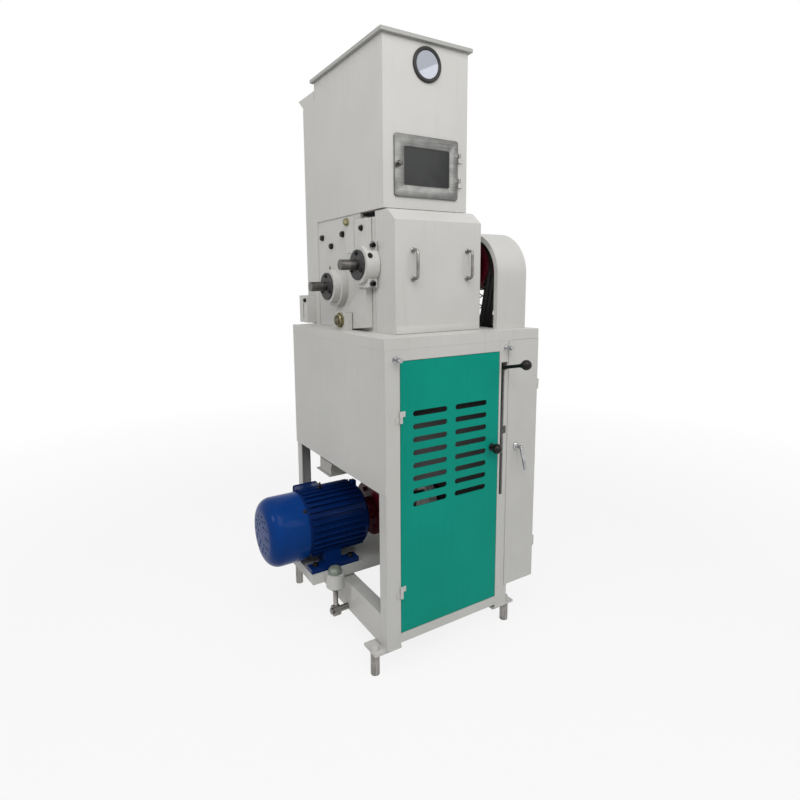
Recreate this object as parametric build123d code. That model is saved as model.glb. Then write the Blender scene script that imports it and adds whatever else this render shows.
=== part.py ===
"""Rice huller with two rubber rolls, hand-closed, on a motor base.

Places in the functions are measured from the main frame's front left corner on the floor:
x to the right along the door side, y to the back, z up.  The helpers move them to the part's
own frame, whose origin is the centre of the four feet on the floor.  Millimetres throughout.
"""
import os
from math import asin, atan2, cos, degrees, hypot, pi, radians, sin, sqrt, tan
from build123d import *

# Main frame
FRAME_SIDE = 83.0
FRAME_BACK = 45.0
BASE_TOP = 1100.0
SHEET = 3.0
LIP_H = 34.0
POST_W = 54.0
POST_D = 40.0
POST_T = 4.0
FOOT_R = 15.0
FOOT_OUT = 22.0
FOOT_IN = 35.0
FOOT_H = 78.0
PLATE_T = 8.0
PLATE_W = 100.0
PLATE_D = 75.0
BOLT_R = 8.0
BOLT_FIT = 0.1
RAIL_Z = 90.0
RAIL_H = 108.0
RAIL_FLANGE = 45.0
RAIL_T = 5.0
TUBE_D = 30.0
SILL_Z = 100.0
SILL_H = 33.0
HEADER_H = 35.0
PANEL_Z = 611.0
SCREW_R = 4.0
SCREW_L = 32.0
SCREW_NECK = 10.5
SCREW_IN = (41.0, 28.0)
SCREW_DROP = (29.0, 24.0)

# Belt compartment on the right and its front panel
CASE_W = 124.0
CASE_Z = 165.0
PANEL_IN = 17.0
PANEL_GAP = 2.0

# Green front door
DOOR_GAP = 1.5
DOOR_FOLD = 15.0
SLOT_MARGIN_L = 47.0
SLOT_MARGIN_R = 53.5
SLOT_BRIDGE = 33.5
SLOT_H = 18.0
SLOT_ROWS = 8
SLOT_PITCH = 42.4
SLOT_DROP = 168.5
KNOB_IN = 28.5
KNOB_Z = 700.0
BALL_R = 17.5
SPINDLE_R = 6.0
RUN = 0.05
TONGUE_L = 38.0
TONGUE_GAP = 1.5

# Hinges: barrel, pin and leaf
BARREL_R = 5.0
HINGE_PIN_R = 2.5
LEAF_T = 2.0
LEAF_W = 18.0
HINGE_OUT = 6.0
HINGE_L = 36.0
HINGE_GAP = 0.2
DOOR_HINGE_IN = (142.5, 173.5)
CASE_HINGE_IN = (135.0, 166.0)
CASE_HINGE_GAP = 0.3

# Panel latch
LATCH_IN = 24.0
LATCH_Z = 687.0
LATCH_L = 80.0
LATCH_OUT = 20.0
LATCH_TONGUE = 25.0
KEEPER_H = 14.0

# Hand lever, its slot, the eccentric and the pull rod
LEVER_IN = 41.0
LEVER_Y = 310.0
LEVER_DROP = 190.0
LEVER_REACH = 418.0
LEVER_LIFT_H = 86.0
LEVER_T = 6.0
LEVER_H = 22.0
LEVER_SWING = 50.0
LEVER_SHAFT_R = 15.0
LEVER_ROD_R = 6.0
LEVER_HUB_R = 25.0
SLOT_FIT = 1.5
SLOT_ABOVE = 7.0
SLOT_BELOW = 136.0
PARK_DROP = 225.0
PARK_H = 28.0
NOTCH = 12.0
ECC_R = 24.0
ECC_GAP = 13.0
ECC_T = 18.0
STRAP_FIT = 0.9
STRAP_W = 10.0
PULL_ROD_R = 4.5
PULL_PIN_R = 8.0
PULL_EYE_R = 16.0

# Rolls
ROLL_GAP_L = 26.0
ROLL_GAP_R = 28.0
ROLL_L = 254.0
ROLL_R = 127.0
RUBBER_T = 24.5
FRONT_Y = 247.0
FRONT_UP = 226.0
ROLL_DROP = 72.0
NIP = 2.32
CORE_RIM = 18.0
CORE_WEB = 24.0
HUB_T = 12.0
AXLE_R = 30.0
SEAT_R = 20.0
STUB_R = 17.5
STUB_X = -15.0
END_R = 19.0

# Roll box plates, swing arms, bearings
BOX_X = 104.0
BOX_H = 405.0
BOX_LEAD = 25.0
BOX_REAR_GAP = 38.0
BOX_PLATE = 12.0
STRIP_T = 25.0
STRIP_W = 62.0
STRIP_H = 110.0
STRIP_GAP = 3.0
STRIP_DROP = 12.0
ARM_GAP = 2.0
ARM_GAP_R = 21.0
ARM_T = 23.0
ARM_LEAD = 7.0
ARM_W = 80.0
ARM_UP = 15.0
ARM_DROP = 25.0
PIVOT_BACK = 133.0
PIVOT_UP = 35.0
ARM_SLOPE = 90.0
PIVOT_R = 17.5
PIVOT_LUG_R = 34.0
BLOCK_W = 80.0
BLOCK_T = 26.0
BLOCK_H = 62.0
ARM_SWING = 3.5
HOUSING_R = 62.5
HOUSING_L = 50.0
BEARING_R = 40.0
BEARING_W = 18.0
COVER_R = 50.0
COVER_T = 6.0
CAP_LUG = 42.0
CAP_LUG_W = 36.0
CAP_BOLT = 55.0
FLANGE_R = 75.0
FLANGE_T = 24.0

# Front cover with its two bow handles
COVER_OVER = 18.0
COVER_CLEAR = 22.0
COVER_REAR_GAP = 2.0
SHOULDER_DROP = 42.0
COVER_BEVEL = 46.0
COVER_GAP = 0.3
NOTCH_D = 14.0
NOTCH_H = 45.0
HANDLE_IN = (68.0, 60.0)
HANDLE_UP = 178.0
HANDLE_L = 91.0
HANDLE_OUT = 29.0
HANDLE_R = 5.0

# Feed parts
CHUTE_T = 4.0
CHUTE_IN = 20.0
CHUTE_DROP = 25.0
CHUTE_CLEAR = 14.8
CHUTE_ANGLE = 28.2
FLOOR_T = 4.0
FLOOR_FRONT_H = 40.0
FLOOR_BACK_H = 110.0
THROAT_FRONT = 270.0
THROAT_BACK = 400.0
GATE_LEAD = 20.0
GATE_DROP = 24.0
GATE_R = 8.0
GATE_FLAP = 62.0
CHUTE_BOLT_IN = ((40.0, 64.0), (215.0, 62.0), (120.0, 100.0))
CHUTE_BOLT_R = 5.0

# Hopper, sight glass, inspection door
HOPPER_LAP_L = 4.0
HOPPER_LAP_R = 2.0
HOPPER_Y = 160.0
HOPPER_H = 535.0
RIM_OUT = 12.0
SEAT_FLANGE = 30.0
GLASS_DROP = 79.0
GLASS_R = 42.5
RING_R = 55.0
RING_T = 8.0
HATCH_IN_L = 40.0
HATCH_IN_R = 42.0
HATCH_UP = 38.0
HATCH_H = 195.0
HATCH_T = 6.0
HATCH_RAIL = 37.0
HATCH_LAP = 12.0
HATCH_HINGE_IN = (58.0, 55.0)
HATCH_HINGE_L = 30.0

# Dust duct at the back
DUCT_D = 112.0
DUCT_DROP = 75.0
MOUTH_OUT = 43.0
MOUTH_H = 35.0
WINDOW_UP = 50.0
WINDOW_DROP = 55.0
WINDOW_MARGIN = 14.0
BRACKET_W = 40.0
BRACKET_D = 80.0
BRACKET_H = 110.0

# Belt guard
GUARD_IN = 19.0
GUARD_Y = 60.0
GUARD_REAR = 75.0
GUARD_H = 340.0
GUARD_R = 150.0
GUARD_OUT = 7.0
GUARD_RIM = 18.0
MESH_CELL_H = 42.0
MESH_BAR = 4.0

# Belts and pulleys
BELT_IN = 51.0
BELT_N = 3
BELT_PITCH = 20.0
BELT_W = 14.0
BELT_T = 9.0
GROOVE_FIT = 0.6
GROOVE_DROP = 0.3
PULLEY_EDGE = 12.5
FRONT_PULLEY_R = 90.0
REAR_PULLEY_R = 116.0
DRIVE_PULLEY_R = 80.0
IDLER_R = 55.0
IDLER_REAR = 90.0
IDLER_DROP = 100.0
IDLER_AXLE_R = 15.0
PULLEY_PROUD = 3.0

# Motor, its cradle and the drive shaft
MOTOR_Y = 435.0
CRADLE_TOP = 244.0
CRADLE_SIDE = 19.0
CRADLE_REAR = 15.0
CRADLE_T = 10.0
CRADLE_FOLD = 36.0
FOLD_T = 6.0
HINGE_BAR_R = 14.0
HINGE_BAR_REAR = 90.0
HINGE_BAR_Z = 214.0
HINGE_BAR_IN = 7.0
HINGE_BASE_IN = 12.0
HINGE_BASE_T = 25.0
HINGE_BASE_W = 50.0
HINGE_BASE_WALL = 3.0
FRAME_R = 118.0
FRAME_L = 210.0
FRAME_X = -105.0
FRAME_LIFT = 14.0
FRAME_WALL = 9.0
FIN_N = 36
FIN_H = 12.0
FIN_T = 3.5
SHIELD_T = 24.0
SHIELD_HUB_R = 55.0
FOOT_PAD_W = 42.0
FOOT_EDGE = 24.0
CRADLE_EDGE = 32.0
FOOT_PAD_T = 18.0
FOOT_PAD_END = 24.0
FOOT_WEB_IN = 60.0
FOOT_HOLE_A = 216.0
FOOT_HOLE_IN = 70.0
FOOT_HOLE_BACK = 89.0
COWL_STEP = 6.0
COWL_L = 138.0
COWL_LAP = 12.0
MOTOR_SHAFT_R = 19.0
MOTOR_SHAFT_L = 80.0
SHAFT_TAIL = 20.0
ROTOR_R = 58.0
ROTOR_IN = 35.0
FAN_GAP = 24.0
FAN_IN = 40.0
FAN_HUB_L = 40.0
FAN_BLADE_L = 36.0
EYE_X = 80.0
COUPLING_R = 105.0
COUPLING_HUB_R = 45.0
COUPLING_FLANGE = 25.0
COUPLING_HUB = 45.0
COUPLING_GAP = 2.0
COUPLING_CLEAR = 12.0
DRIVE_SHAFT_R = 20.0
STAND_CLEAR = 37.0
STAND_IN = 69.0
STAND_T = 40.0
STAND_W = 120.0

# Belt tension adjuster on the cradle's front edge
CUP_X = -45.0
CUP_OUT = 20.0
CUP_R = 33.0
CUP_WALL = 8.0
CUP_H = 50.0
ROD_R = 8.0
ROD_FIT = 1.6
ANCHOR_Z = 100.0
ANCHOR_R = 11.0
NUT_AF = 24.0
NUT_H = 13.0

# Collecting hopper under the rolls and its spout
SPOUT_X = 40.0
SPOUT_Y = 470.0
SPOUT_W = 100.0
SPOUT_ABOVE = 54.0
SPOUT_NECK = 30.0
SPOUT_FLANGE = 12.0
OPENING_INSET = 4.0

# Sizes that follow from the ones above: along x
BOX_W = 2 * BOX_PLATE + ROLL_GAP_L + ROLL_L + ROLL_GAP_R
BOX_END = BOX_X + BOX_W
ROLL_X = BOX_X + BOX_PLATE + ROLL_GAP_L
FRAME_W = BOX_END + FRAME_SIDE
ARM_X = BOX_X - ARM_GAP - ARM_T
ARM_R_X = BOX_END + ARM_GAP_R
ECC_X = ARM_R_X - ECC_GAP
COVER_X = BOX_X
COVER_W = BOX_W + COVER_OVER
HANDLE_X = (HANDLE_IN[0], COVER_W - HANDLE_IN[1])
HOPPER_X = BOX_X - HOPPER_LAP_L
HOPPER_W = BOX_W + HOPPER_LAP_L + HOPPER_LAP_R
HATCH_X = HOPPER_X + HATCH_IN_L
HATCH_W = HOPPER_W - HATCH_IN_L - HATCH_IN_R
LEFT = -FRAME_W / 2
CASE_X = FRAME_W - SHEET
CASE_END = FRAME_W + CASE_W
PANEL_X = FRAME_W - PANEL_IN
LATCH_X = FRAME_W + LATCH_IN
LEVER_X = FRAME_W - LEVER_IN
GUARD_X = FRAME_W - GUARD_IN
GUARD_W = CASE_W - GUARD_OUT + GUARD_IN
BELT_X = FRAME_W + BELT_IN
PULLEY_W = (BELT_N - 1) * BELT_PITCH + 2 * PULLEY_EDGE
PULLEY_END = BELT_X + PULLEY_W / 2
SHAFT_END = PULLEY_END + 6.0
COWL_END = FRAME_X - SHIELD_T + COWL_LAP - COWL_L
SHIELD_END = FRAME_X + FRAME_L + SHIELD_T
MOTOR_SHAFT_END = SHIELD_END + COUPLING_CLEAR + COUPLING_HUB + COUPLING_FLANGE
DRIVE_SHAFT_X = MOTOR_SHAFT_END + COUPLING_GAP
FOOT_HOLE_B = FRAME_L - FOOT_HOLE_IN
FOOT_NEAR = MOTOR_SHAFT_END - MOTOR_SHAFT_L - FOOT_HOLE_BACK
FOOT_PAD_L = FOOT_HOLE_B + 2 * FOOT_PAD_END
FOOT_X = FOOT_NEAR + FOOT_PAD_END - FOOT_PAD_L
CRADLE_X = FOOT_X
CRADLE_W = FRAME_W - CRADLE_SIDE - CRADLE_X
STAND_NEAR = DRIVE_SHAFT_X + COUPLING_FLANGE + COUPLING_HUB + STAND_CLEAR
STAND_X = (STAND_NEAR, FRAME_W - STAND_IN)
DOOR_X = SHEET + POST_W + DOOR_GAP
DOOR_W = FRAME_W - 2 * DOOR_X
SLOT_L = (DOOR_W - SLOT_MARGIN_L - SLOT_MARGIN_R - SLOT_BRIDGE) / 2
SLOT_X = (DOOR_X + SLOT_MARGIN_L + SLOT_L / 2, DOOR_X + DOOR_W - SLOT_MARGIN_R - SLOT_L / 2)
KNOB_X = DOOR_X + DOOR_W - KNOB_IN

# Along y
REAR_Y = FRONT_Y + sqrt((2 * ROLL_R + NIP) ** 2 - ROLL_DROP ** 2)
BOX_Y = FRONT_Y - BOX_LEAD
BOX_BACK = REAR_Y + ROLL_R + BOX_REAR_GAP + BOX_PLATE
HOPPER_D = BOX_BACK - HOPPER_Y
FRAME_D = BOX_BACK + FRAME_BACK
FRONT = -FRAME_D / 2
ARM_Y = FRONT_Y - ARM_LEAD
PIVOT_Y = FRONT_Y + PIVOT_BACK
COVER_Y = FRONT_Y - ROLL_R - COVER_CLEAR
COVER_D = BOX_Y - COVER_REAR_GAP - COVER_Y
GATE_Y = HOPPER_Y + THROAT_FRONT - GATE_LEAD
DUCT_Y = BOX_BACK
GUARD_D = FRAME_D - GUARD_Y - GUARD_REAR
IDLER_Y = FRAME_D - IDLER_REAR
HINGE_BAR_Y = FRAME_D - HINGE_BAR_REAR
CRADLE_Y = MOTOR_Y - FOOT_HOLE_A / 2 - CRADLE_EDGE
CRADLE_D = HINGE_BAR_Y + CRADLE_REAR - CRADLE_Y
CUP_Y = CRADLE_Y - CUP_OUT

# Along z
PLATE_TOP = FOOT_H + PLATE_T
LIP_Z = BASE_TOP - LIP_H
DOOR_Z = SILL_Z + SILL_H + DOOR_GAP
DOOR_H = LIP_Z - HEADER_H - DOOR_GAP - DOOR_Z
SLOT_TOP = DOOR_Z + DOOR_H - SLOT_DROP
DOOR_HINGES = (DOOR_Z + DOOR_HINGE_IN[0], DOOR_Z + DOOR_H - DOOR_HINGE_IN[1])
CASE_HINGES = (CASE_Z + CASE_HINGE_IN[0], LIP_Z - CASE_HINGE_IN[1])
SCREWS = ((SCREW_IN[0], LIP_Z - SCREW_DROP[0]), (FRAME_W - SCREW_IN[1], LIP_Z - SCREW_DROP[1]))
FRONT_Z = BASE_TOP + FRONT_UP
REAR_Z = FRONT_Z - ROLL_DROP
PIVOT_Z = BASE_TOP + PIVOT_UP
HOPPER_Z = BASE_TOP + BOX_H
ARM_LOW = BASE_TOP + ARM_UP
ARM_TOP = HOPPER_Z - ARM_DROP
STRIP_LOW = ARM_TOP - STRIP_H
COVER_SHOULDER = HOPPER_Z - SHOULDER_DROP
HANDLE_Z = BASE_TOP + HANDLE_UP
GATE_Z = HOPPER_Z - GATE_DROP
GLASS_Z = HOPPER_Z + HOPPER_H - GLASS_DROP
HATCH_Z = HOPPER_Z + HATCH_UP
HATCH_HINGES = (HATCH_Z + HATCH_HINGE_IN[0], HATCH_Z + HATCH_H - HATCH_HINGE_IN[1])
DUCT_TOP = HOPPER_Z + HOPPER_H - DUCT_DROP
WINDOW_LOW = BASE_TOP + WINDOW_UP
WINDOW_HIGH = HOPPER_Z - WINDOW_DROP
IDLER_Z = BASE_TOP - IDLER_DROP
COWL_R = FRAME_R + COWL_STEP
FAN_R = COWL_R - FAN_GAP
MOTOR_Z = CRADLE_TOP + FRAME_LIFT + FRAME_R
SPOUT_Z = MOTOR_Z + FRAME_R + FIN_H + SPOUT_ABOVE

# Chute, lever slot and eccentric
CHUTE_R = ROLL_R + CHUTE_CLEAR
CHUTE_FRONT = (FRONT_Y + CHUTE_R * cos(radians(CHUTE_ANGLE)), FRONT_Z + CHUTE_R * sin(radians(CHUTE_ANGLE)))
CHUTE_BACK = (BOX_BACK - CHUTE_IN, HOPPER_Z - CHUTE_DROP)
CHUTE_BOLTS = [(BOX_BACK - back, HOPPER_Z - drop) for back, drop in CHUTE_BOLT_IN]
LEVER_Z = BASE_TOP - LEVER_DROP
LEVER_TILT = atan2(LEVER_LIFT_H, LEVER_REACH)
SLOT_HIGH = LEVER_Z + LEVER_Y * tan(LEVER_TILT) + LEVER_H / 2 + SLOT_ABOVE
SLOT_LOW = LEVER_Z - LEVER_Y * tan(radians(LEVER_SWING) - LEVER_TILT) - LEVER_H / 2 - SLOT_BELOW
PULL_Y = LEVER_Y - ECC_R / 5
PULL_ARM = PIVOT_Y - PULL_Y
ECC = PULL_ARM * sin(radians(ARM_SWING)) / (2 * sin(radians(LEVER_SWING / 2)))
ECC_Y = LEVER_Y - ECC * cos(radians(LEVER_SWING / 2))
ECC_Z = LEVER_Z + ECC * sin(radians(LEVER_SWING / 2))

nodes = {}


def keep(name, *shapes):
    """Store the solids of the shapes as one named node."""
    nodes[name] = [solid for shape in shapes for solid in shape.solids()]


def block(x0, x1, y0, y1, z0, z1):
    """Box between two corners."""
    corner = (Align.MIN, Align.MIN, Align.MIN)
    return Pos(LEFT + x0, FRONT + y0, z0) * Box(x1 - x0, y1 - y0, z1 - z0, align=corner)


def bar_x(x0, x1, y, z, radius):
    """Round bar along x."""
    base = (Align.CENTER, Align.CENTER, Align.MIN)
    turn = Rot(0, 90, 0)
    return Pos(LEFT + x0, FRONT + y, z) * turn * Cylinder(radius, x1 - x0, align=base)


def bar_y(x, y0, y1, z, radius):
    """Round bar along y."""
    base = (Align.CENTER, Align.CENTER, Align.MIN)
    turn = Rot(-90, 0, 0)
    return Pos(LEFT + x, FRONT + y0, z) * turn * Cylinder(radius, y1 - y0, align=base)


def bar_z(x, y, z0, z1, radius):
    """Round bar along z."""
    base = (Align.CENTER, Align.CENTER, Align.MIN)
    return Pos(LEFT + x, FRONT + y, z0) * Cylinder(radius, z1 - z0, align=base)


def hex_x(x0, x1, y, z, across):
    """Hexagon along x, given its width across flats."""
    face = RegularPolygon(across / 2, 6, major_radius=False)
    return Pos(LEFT + x0, FRONT + y, z) * Rot(0, 90, 0) * extrude(face, x1 - x0)


def hex_y(x, y0, y1, z, across):
    """Hexagon along y."""
    face = RegularPolygon(across / 2, 6, major_radius=False)
    return Pos(LEFT + x, FRONT + y0, z) * Rot(-90, 0, 0) * extrude(face, y1 - y0)


def hex_z(x, y, z0, z1, across):
    """Hexagon along z."""
    face = RegularPolygon(across / 2, 6, major_radius=False)
    return Pos(LEFT + x, FRONT + y, z0) * extrude(face, z1 - z0)


def plate_x(points, x0, x1):
    """Flat outline of (y, z) points, given a thickness along x."""
    line = Polyline([(LEFT + x0, FRONT + y, z) for y, z in points], close=True)
    return extrude(make_face(line), x1 - x0, dir=(1, 0, 0))


def ball(x, y, z, radius):
    """Ball at a place."""
    return Pos(LEFT + x, FRONT + y, z) * Sphere(radius)


def corners():
    """Feet, as (x, y, side, end) with side and end -1 or 1."""
    for side in (-1, 1):
        for end in (-1, 1):
            x = -FOOT_OUT if side < 0 else FRAME_W + FOOT_OUT
            y = FOOT_IN if end < 0 else FRAME_D - FOOT_IN
            yield x, y, side, end


def feet_and_plates():
    """Round feet, the plates they carry, and the bolts that hold them."""
    feet, plates, bolts = [], [], []
    for x, y, side, end in corners():
        inner = BOLT_R + BOLT_FIT
        foot = bar_z(x, y, 0, FOOT_H, FOOT_R) - bar_z(x, y, FOOT_H / 2, FOOT_H, inner)
        x0 = x - FOOT_R - 1 if side < 0 else x + FOOT_R + 1 - PLATE_W
        y0 = 5.0 if end < 0 else FRAME_D - 5.0 - PLATE_D
        plate = block(x0, x0 + PLATE_W, y0, y0 + PLATE_D, FOOT_H, PLATE_TOP)
        plates.append(plate - bar_z(x, y, FOOT_H, PLATE_TOP, inner))
        feet.append(foot)
        head = hex_z(x, y, PLATE_TOP, PLATE_TOP + 10, NUT_AF)
        bolts.append(head + bar_z(x, y, FOOT_H / 2 + 4, PLATE_TOP, BOLT_R))
    keep("feet", *feet)
    keep("foot_plates", *plates)
    return bolts


def post(side, end):
    """Angle post: a front or back flange and a side flange."""
    x0 = SHEET if side < 0 else FRAME_W - SHEET - POST_W
    x1 = x0 + POST_W
    y0 = 0 if end < 0 else FRAME_D - SHEET - POST_D
    y1 = y0 + POST_D
    face_y = y0 if end < 0 else y1 - POST_T
    side_x = x0 if side < 0 else x1 - POST_T
    face = block(x0, x1, face_y, face_y + POST_T, PLATE_TOP, LIP_Z)
    return face + block(side_x, side_x + POST_T, y0, y1, PLATE_TOP, LIP_Z)


def lever_slot():
    """Slot in the right front post with a parking notch at its top and one lower down."""
    half = LEVER_ROD_R + SLOT_FIT
    slot = block(LEVER_X - half, LEVER_X + half, -1, POST_T + 1, SLOT_LOW, SLOT_HIGH)
    for top in (SLOT_HIGH, SLOT_HIGH - PARK_DROP):
        slot += block(LEVER_X, LEVER_X + half + NOTCH, -1, POST_T + 1, top - PARK_H, top)
    return slot


def frame():
    """Posts, rails, top cap and side panels."""
    posts = [post(side, end) for side in (-1, 1) for end in (-1, 1)]
    posts[2] = posts[2] - lever_slot()
    for index, (x, z) in zip((0, 2), SCREWS):
        posts[index] = posts[index] - bar_y(x, 0, POST_T, z, SCREW_R + BOLT_FIT)
    keep("frame_posts", *posts)
    x0 = SHEET + POST_W
    x1 = FRAME_W - x0
    rails = []
    for z0, z1 in ((SILL_Z, SILL_Z + SILL_H), (LIP_Z - HEADER_H, LIP_Z)):
        tube = block(x0, x1, 0, TUBE_D, z0, z1)
        rails.append(tube - block(x0, x1, SHEET, TUBE_D - SHEET, z0 + SHEET, z1 - SHEET))
    top = RAIL_Z + RAIL_H
    y0 = POST_D
    y1 = FRAME_D - SHEET - POST_D
    for web, edge in ((SHEET, SHEET + RAIL_FLANGE), (FRAME_W - SHEET, FRAME_W - SHEET - RAIL_FLANGE)):
        a, b = min(web, edge), max(web, edge)
        hollow_a = a + RAIL_T if web < edge else a
        hollow_b = b if web < edge else b - RAIL_T
        channel = block(a, b, y0, y1, RAIL_Z, top)
        rails.append(channel - block(hollow_a, hollow_b, y0, y1, RAIL_Z + RAIL_T, top - RAIL_T))
    back = FRAME_D - SHEET
    channel = block(x0, x1, back - RAIL_FLANGE, back, RAIL_Z, top)
    hollow = block(x0, x1, back - RAIL_FLANGE, back - RAIL_T, RAIL_Z + RAIL_T, top - RAIL_T)
    rails.append(channel - hollow)
    keep("frame_rails", *rails)
    left = block(0, SHEET, 0, FRAME_D, PANEL_Z, LIP_Z)
    rear = block(SHEET, CASE_X, back, FRAME_D, PANEL_Z, LIP_Z)
    keep("side_panels", left, rear)


def top_cap():
    """Pressed top with a lip all round, open under the rolls, the pull rod and the belts."""
    cap = block(0, CASE_END, 0, FRAME_D, LIP_Z, BASE_TOP)
    cap -= block(SHEET, CASE_END - SHEET, SHEET, FRAME_D - SHEET, LIP_Z, BASE_TOP - SHEET)
    inner = BOX_X + BOX_PLATE
    cap -= block(inner, BOX_END - BOX_PLATE, COVER_Y + 32, BOX_BACK - 30, LIP_Z, BASE_TOP)
    cap -= block(ECC_X - 6, ECC_X + ECC_T + 4, PULL_Y - 26, PULL_Y + 26, LIP_Z, BASE_TOP)
    wide = PULLEY_W / 2 + 6
    cap -= block(BELT_X - wide, BELT_X + wide, 100, FRAME_D - 20, LIP_Z, BASE_TOP)
    keep("top_cap", cap)


def belt_case():
    """Sheet case that holds the belts beside the frame, with the lever bush and idler axle."""
    case = block(CASE_X, CASE_END, 0, FRAME_D, CASE_Z, LIP_Z)
    case -= block(FRAME_W, CASE_END - SHEET, 0, FRAME_D - SHEET, CASE_Z + SHEET, LIP_Z)
    case -= bar_x(CASE_X, FRAME_W, MOTOR_Y, MOTOR_Z, DRIVE_SHAFT_R + 18)
    case -= block(CASE_X, FRAME_W, 2, 12, LATCH_Z - KEEPER_H, LATCH_Z + KEEPER_H)
    bush_x = LEVER_X + 14
    case += bar_x(bush_x, CASE_X, LEVER_Y, LEVER_Z, 2 * LEVER_SHAFT_R)
    case -= bar_x(bush_x, FRAME_W, LEVER_Y, LEVER_Z, LEVER_SHAFT_R + RUN)
    axle_end = BELT_X + PULLEY_W / 2 + 4
    case += bar_x(FRAME_W, axle_end, IDLER_Y, IDLER_Z, IDLER_AXLE_R)
    case += bar_x(FRAME_W, BELT_X - PULLEY_W / 2 - 0.3, IDLER_Y, IDLER_Z, 2 * IDLER_AXLE_R)
    keep("belt_case", case)


def hinge(x, y, z, length, leaf_dir, fold):
    """Fixed and moving half of a lift-off hinge whose pin stands along z.

    leaf_dir is the side, along x, on which the moving leaf lies; fold is 0 for a fixed leaf
    that lies flat beside it, or the depth of a fixed leaf that folds back along y.
    """
    low, high = z - length / 2, z + length / 2
    mid = z - HINGE_GAP
    reach = leaf_dir * LEAF_W
    near = y + HINGE_OUT
    fixed = bar_z(x, y, low, mid, BARREL_R) + bar_z(x, y, low, high, HINGE_PIN_R)
    if fold:
        fixed += block(x - LEAF_T - 1, x - 1, y, near + fold, low, mid)
    else:
        a, b = sorted((x - reach, x))
        fixed += block(a, b, near - LEAF_T, near, low, mid)
    a, b = sorted((x, x + reach))
    top = z + HINGE_GAP
    moving = bar_z(x, y, top, high, BARREL_R) + block(a, b, near - LEAF_T, near, top, high)
    return fixed, moving - bar_z(x, y, low, high, HINGE_PIN_R + RUN)


def front_door():
    """Louvred green door, hung on the left front post, and its ball knob."""
    x1, z1 = DOOR_X + DOOR_W, DOOR_Z + DOOR_H
    door = block(DOOR_X, x1, 0, SHEET, DOOR_Z, z1)
    door += block(DOOR_X, x1, 0, DOOR_FOLD, DOOR_Z, DOOR_Z + SHEET)
    door += block(DOOR_X, x1, 0, DOOR_FOLD, z1 - SHEET, z1)
    half = (SLOT_L - SLOT_H) / 2
    for x in SLOT_X:
        for row in range(SLOT_ROWS):
            z = SLOT_TOP - row * SLOT_PITCH
            cut = block(x - half, x + half, -1, SHEET + 1, z - SLOT_H / 2, z + SLOT_H / 2)
            for end in (x - half, x + half):
                cut += bar_y(end, -1, SHEET + 1, z, SLOT_H / 2)
            door -= cut
    door -= bar_y(KNOB_X, -1, SHEET + 1, KNOB_Z, SPINDLE_R + RUN)
    pins = []
    for z in DOOR_HINGES:
        fixed, moving = hinge(DOOR_X - DOOR_GAP / 2, -HINGE_OUT, z, HINGE_L, 1, 0)
        pins.append(fixed)
        door += moving
    keep("front_door", door)
    out = -HINGE_OUT - BALL_R
    tongue = SHEET + TONGUE_GAP
    knob = ball(KNOB_X, out - 4, KNOB_Z, BALL_R)
    knob += bar_y(KNOB_X, out, tongue + 4, KNOB_Z, SPINDLE_R)
    knob += bar_y(KNOB_X, -6, -COVER_GAP, KNOB_Z, 2 * SPINDLE_R)
    knob += block(KNOB_X - 8, KNOB_X + 8, tongue, tongue + 4, KNOB_Z - TONGUE_L, KNOB_Z + 8)
    keep("door_knob", knob)
    return pins


def case_panel():
    """Front panel of the belt case with its swinging latch handle."""
    x1 = CASE_END - PANEL_GAP
    panel = block(PANEL_X, x1, -SHEET, 0, CASE_Z + PANEL_GAP, LIP_Z - COVER_GAP)
    panel -= bar_y(LATCH_X, -SHEET - 1, 1, LATCH_Z, SPINDLE_R + RUN)
    pins = []
    x, y = CASE_END + BARREL_R + CASE_HINGE_GAP, BARREL_R - LEAF_T / 4
    for z in CASE_HINGES:
        low, high = z - HINGE_L / 2, z + HINGE_L / 2
        fixed = bar_z(x, y, low, z - HINGE_GAP, BARREL_R) + bar_z(x, y, low, high, HINGE_PIN_R)
        fixed += block(CASE_END, CASE_END + LEAF_T, y, y + LEAF_W, low, z - HINGE_GAP)
        pins.append(fixed)
        panel += block(x1, x, -SHEET, 0, z + HINGE_GAP, high) + bar_z(x, y, z + HINGE_GAP, high, BARREL_R)
        panel -= bar_z(x, y, z, high, HINGE_PIN_R + RUN)
    keep("case_panel", panel)
    y = -SHEET - LATCH_OUT
    latch = bar_y(LATCH_X, y - 6, 8, LATCH_Z, SPINDLE_R)
    latch += bar_y(LATCH_X, -SHEET - 8, -SHEET - COVER_GAP, LATCH_Z, 2 * SPINDLE_R)
    grip = ((y, LATCH_Z + 9), (y - 8, LATCH_Z + 9), (y - 32, LATCH_Z - LATCH_L),
            (y - 22, LATCH_Z - LATCH_L))
    latch += plate_x(grip, LATCH_X - 7, LATCH_X + 7)
    latch += block(LATCH_X - 8, LATCH_X + 8, 4, 8, LATCH_Z - 8, LATCH_Z + LATCH_TONGUE)
    keep("panel_latch", latch)
    return pins


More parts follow.
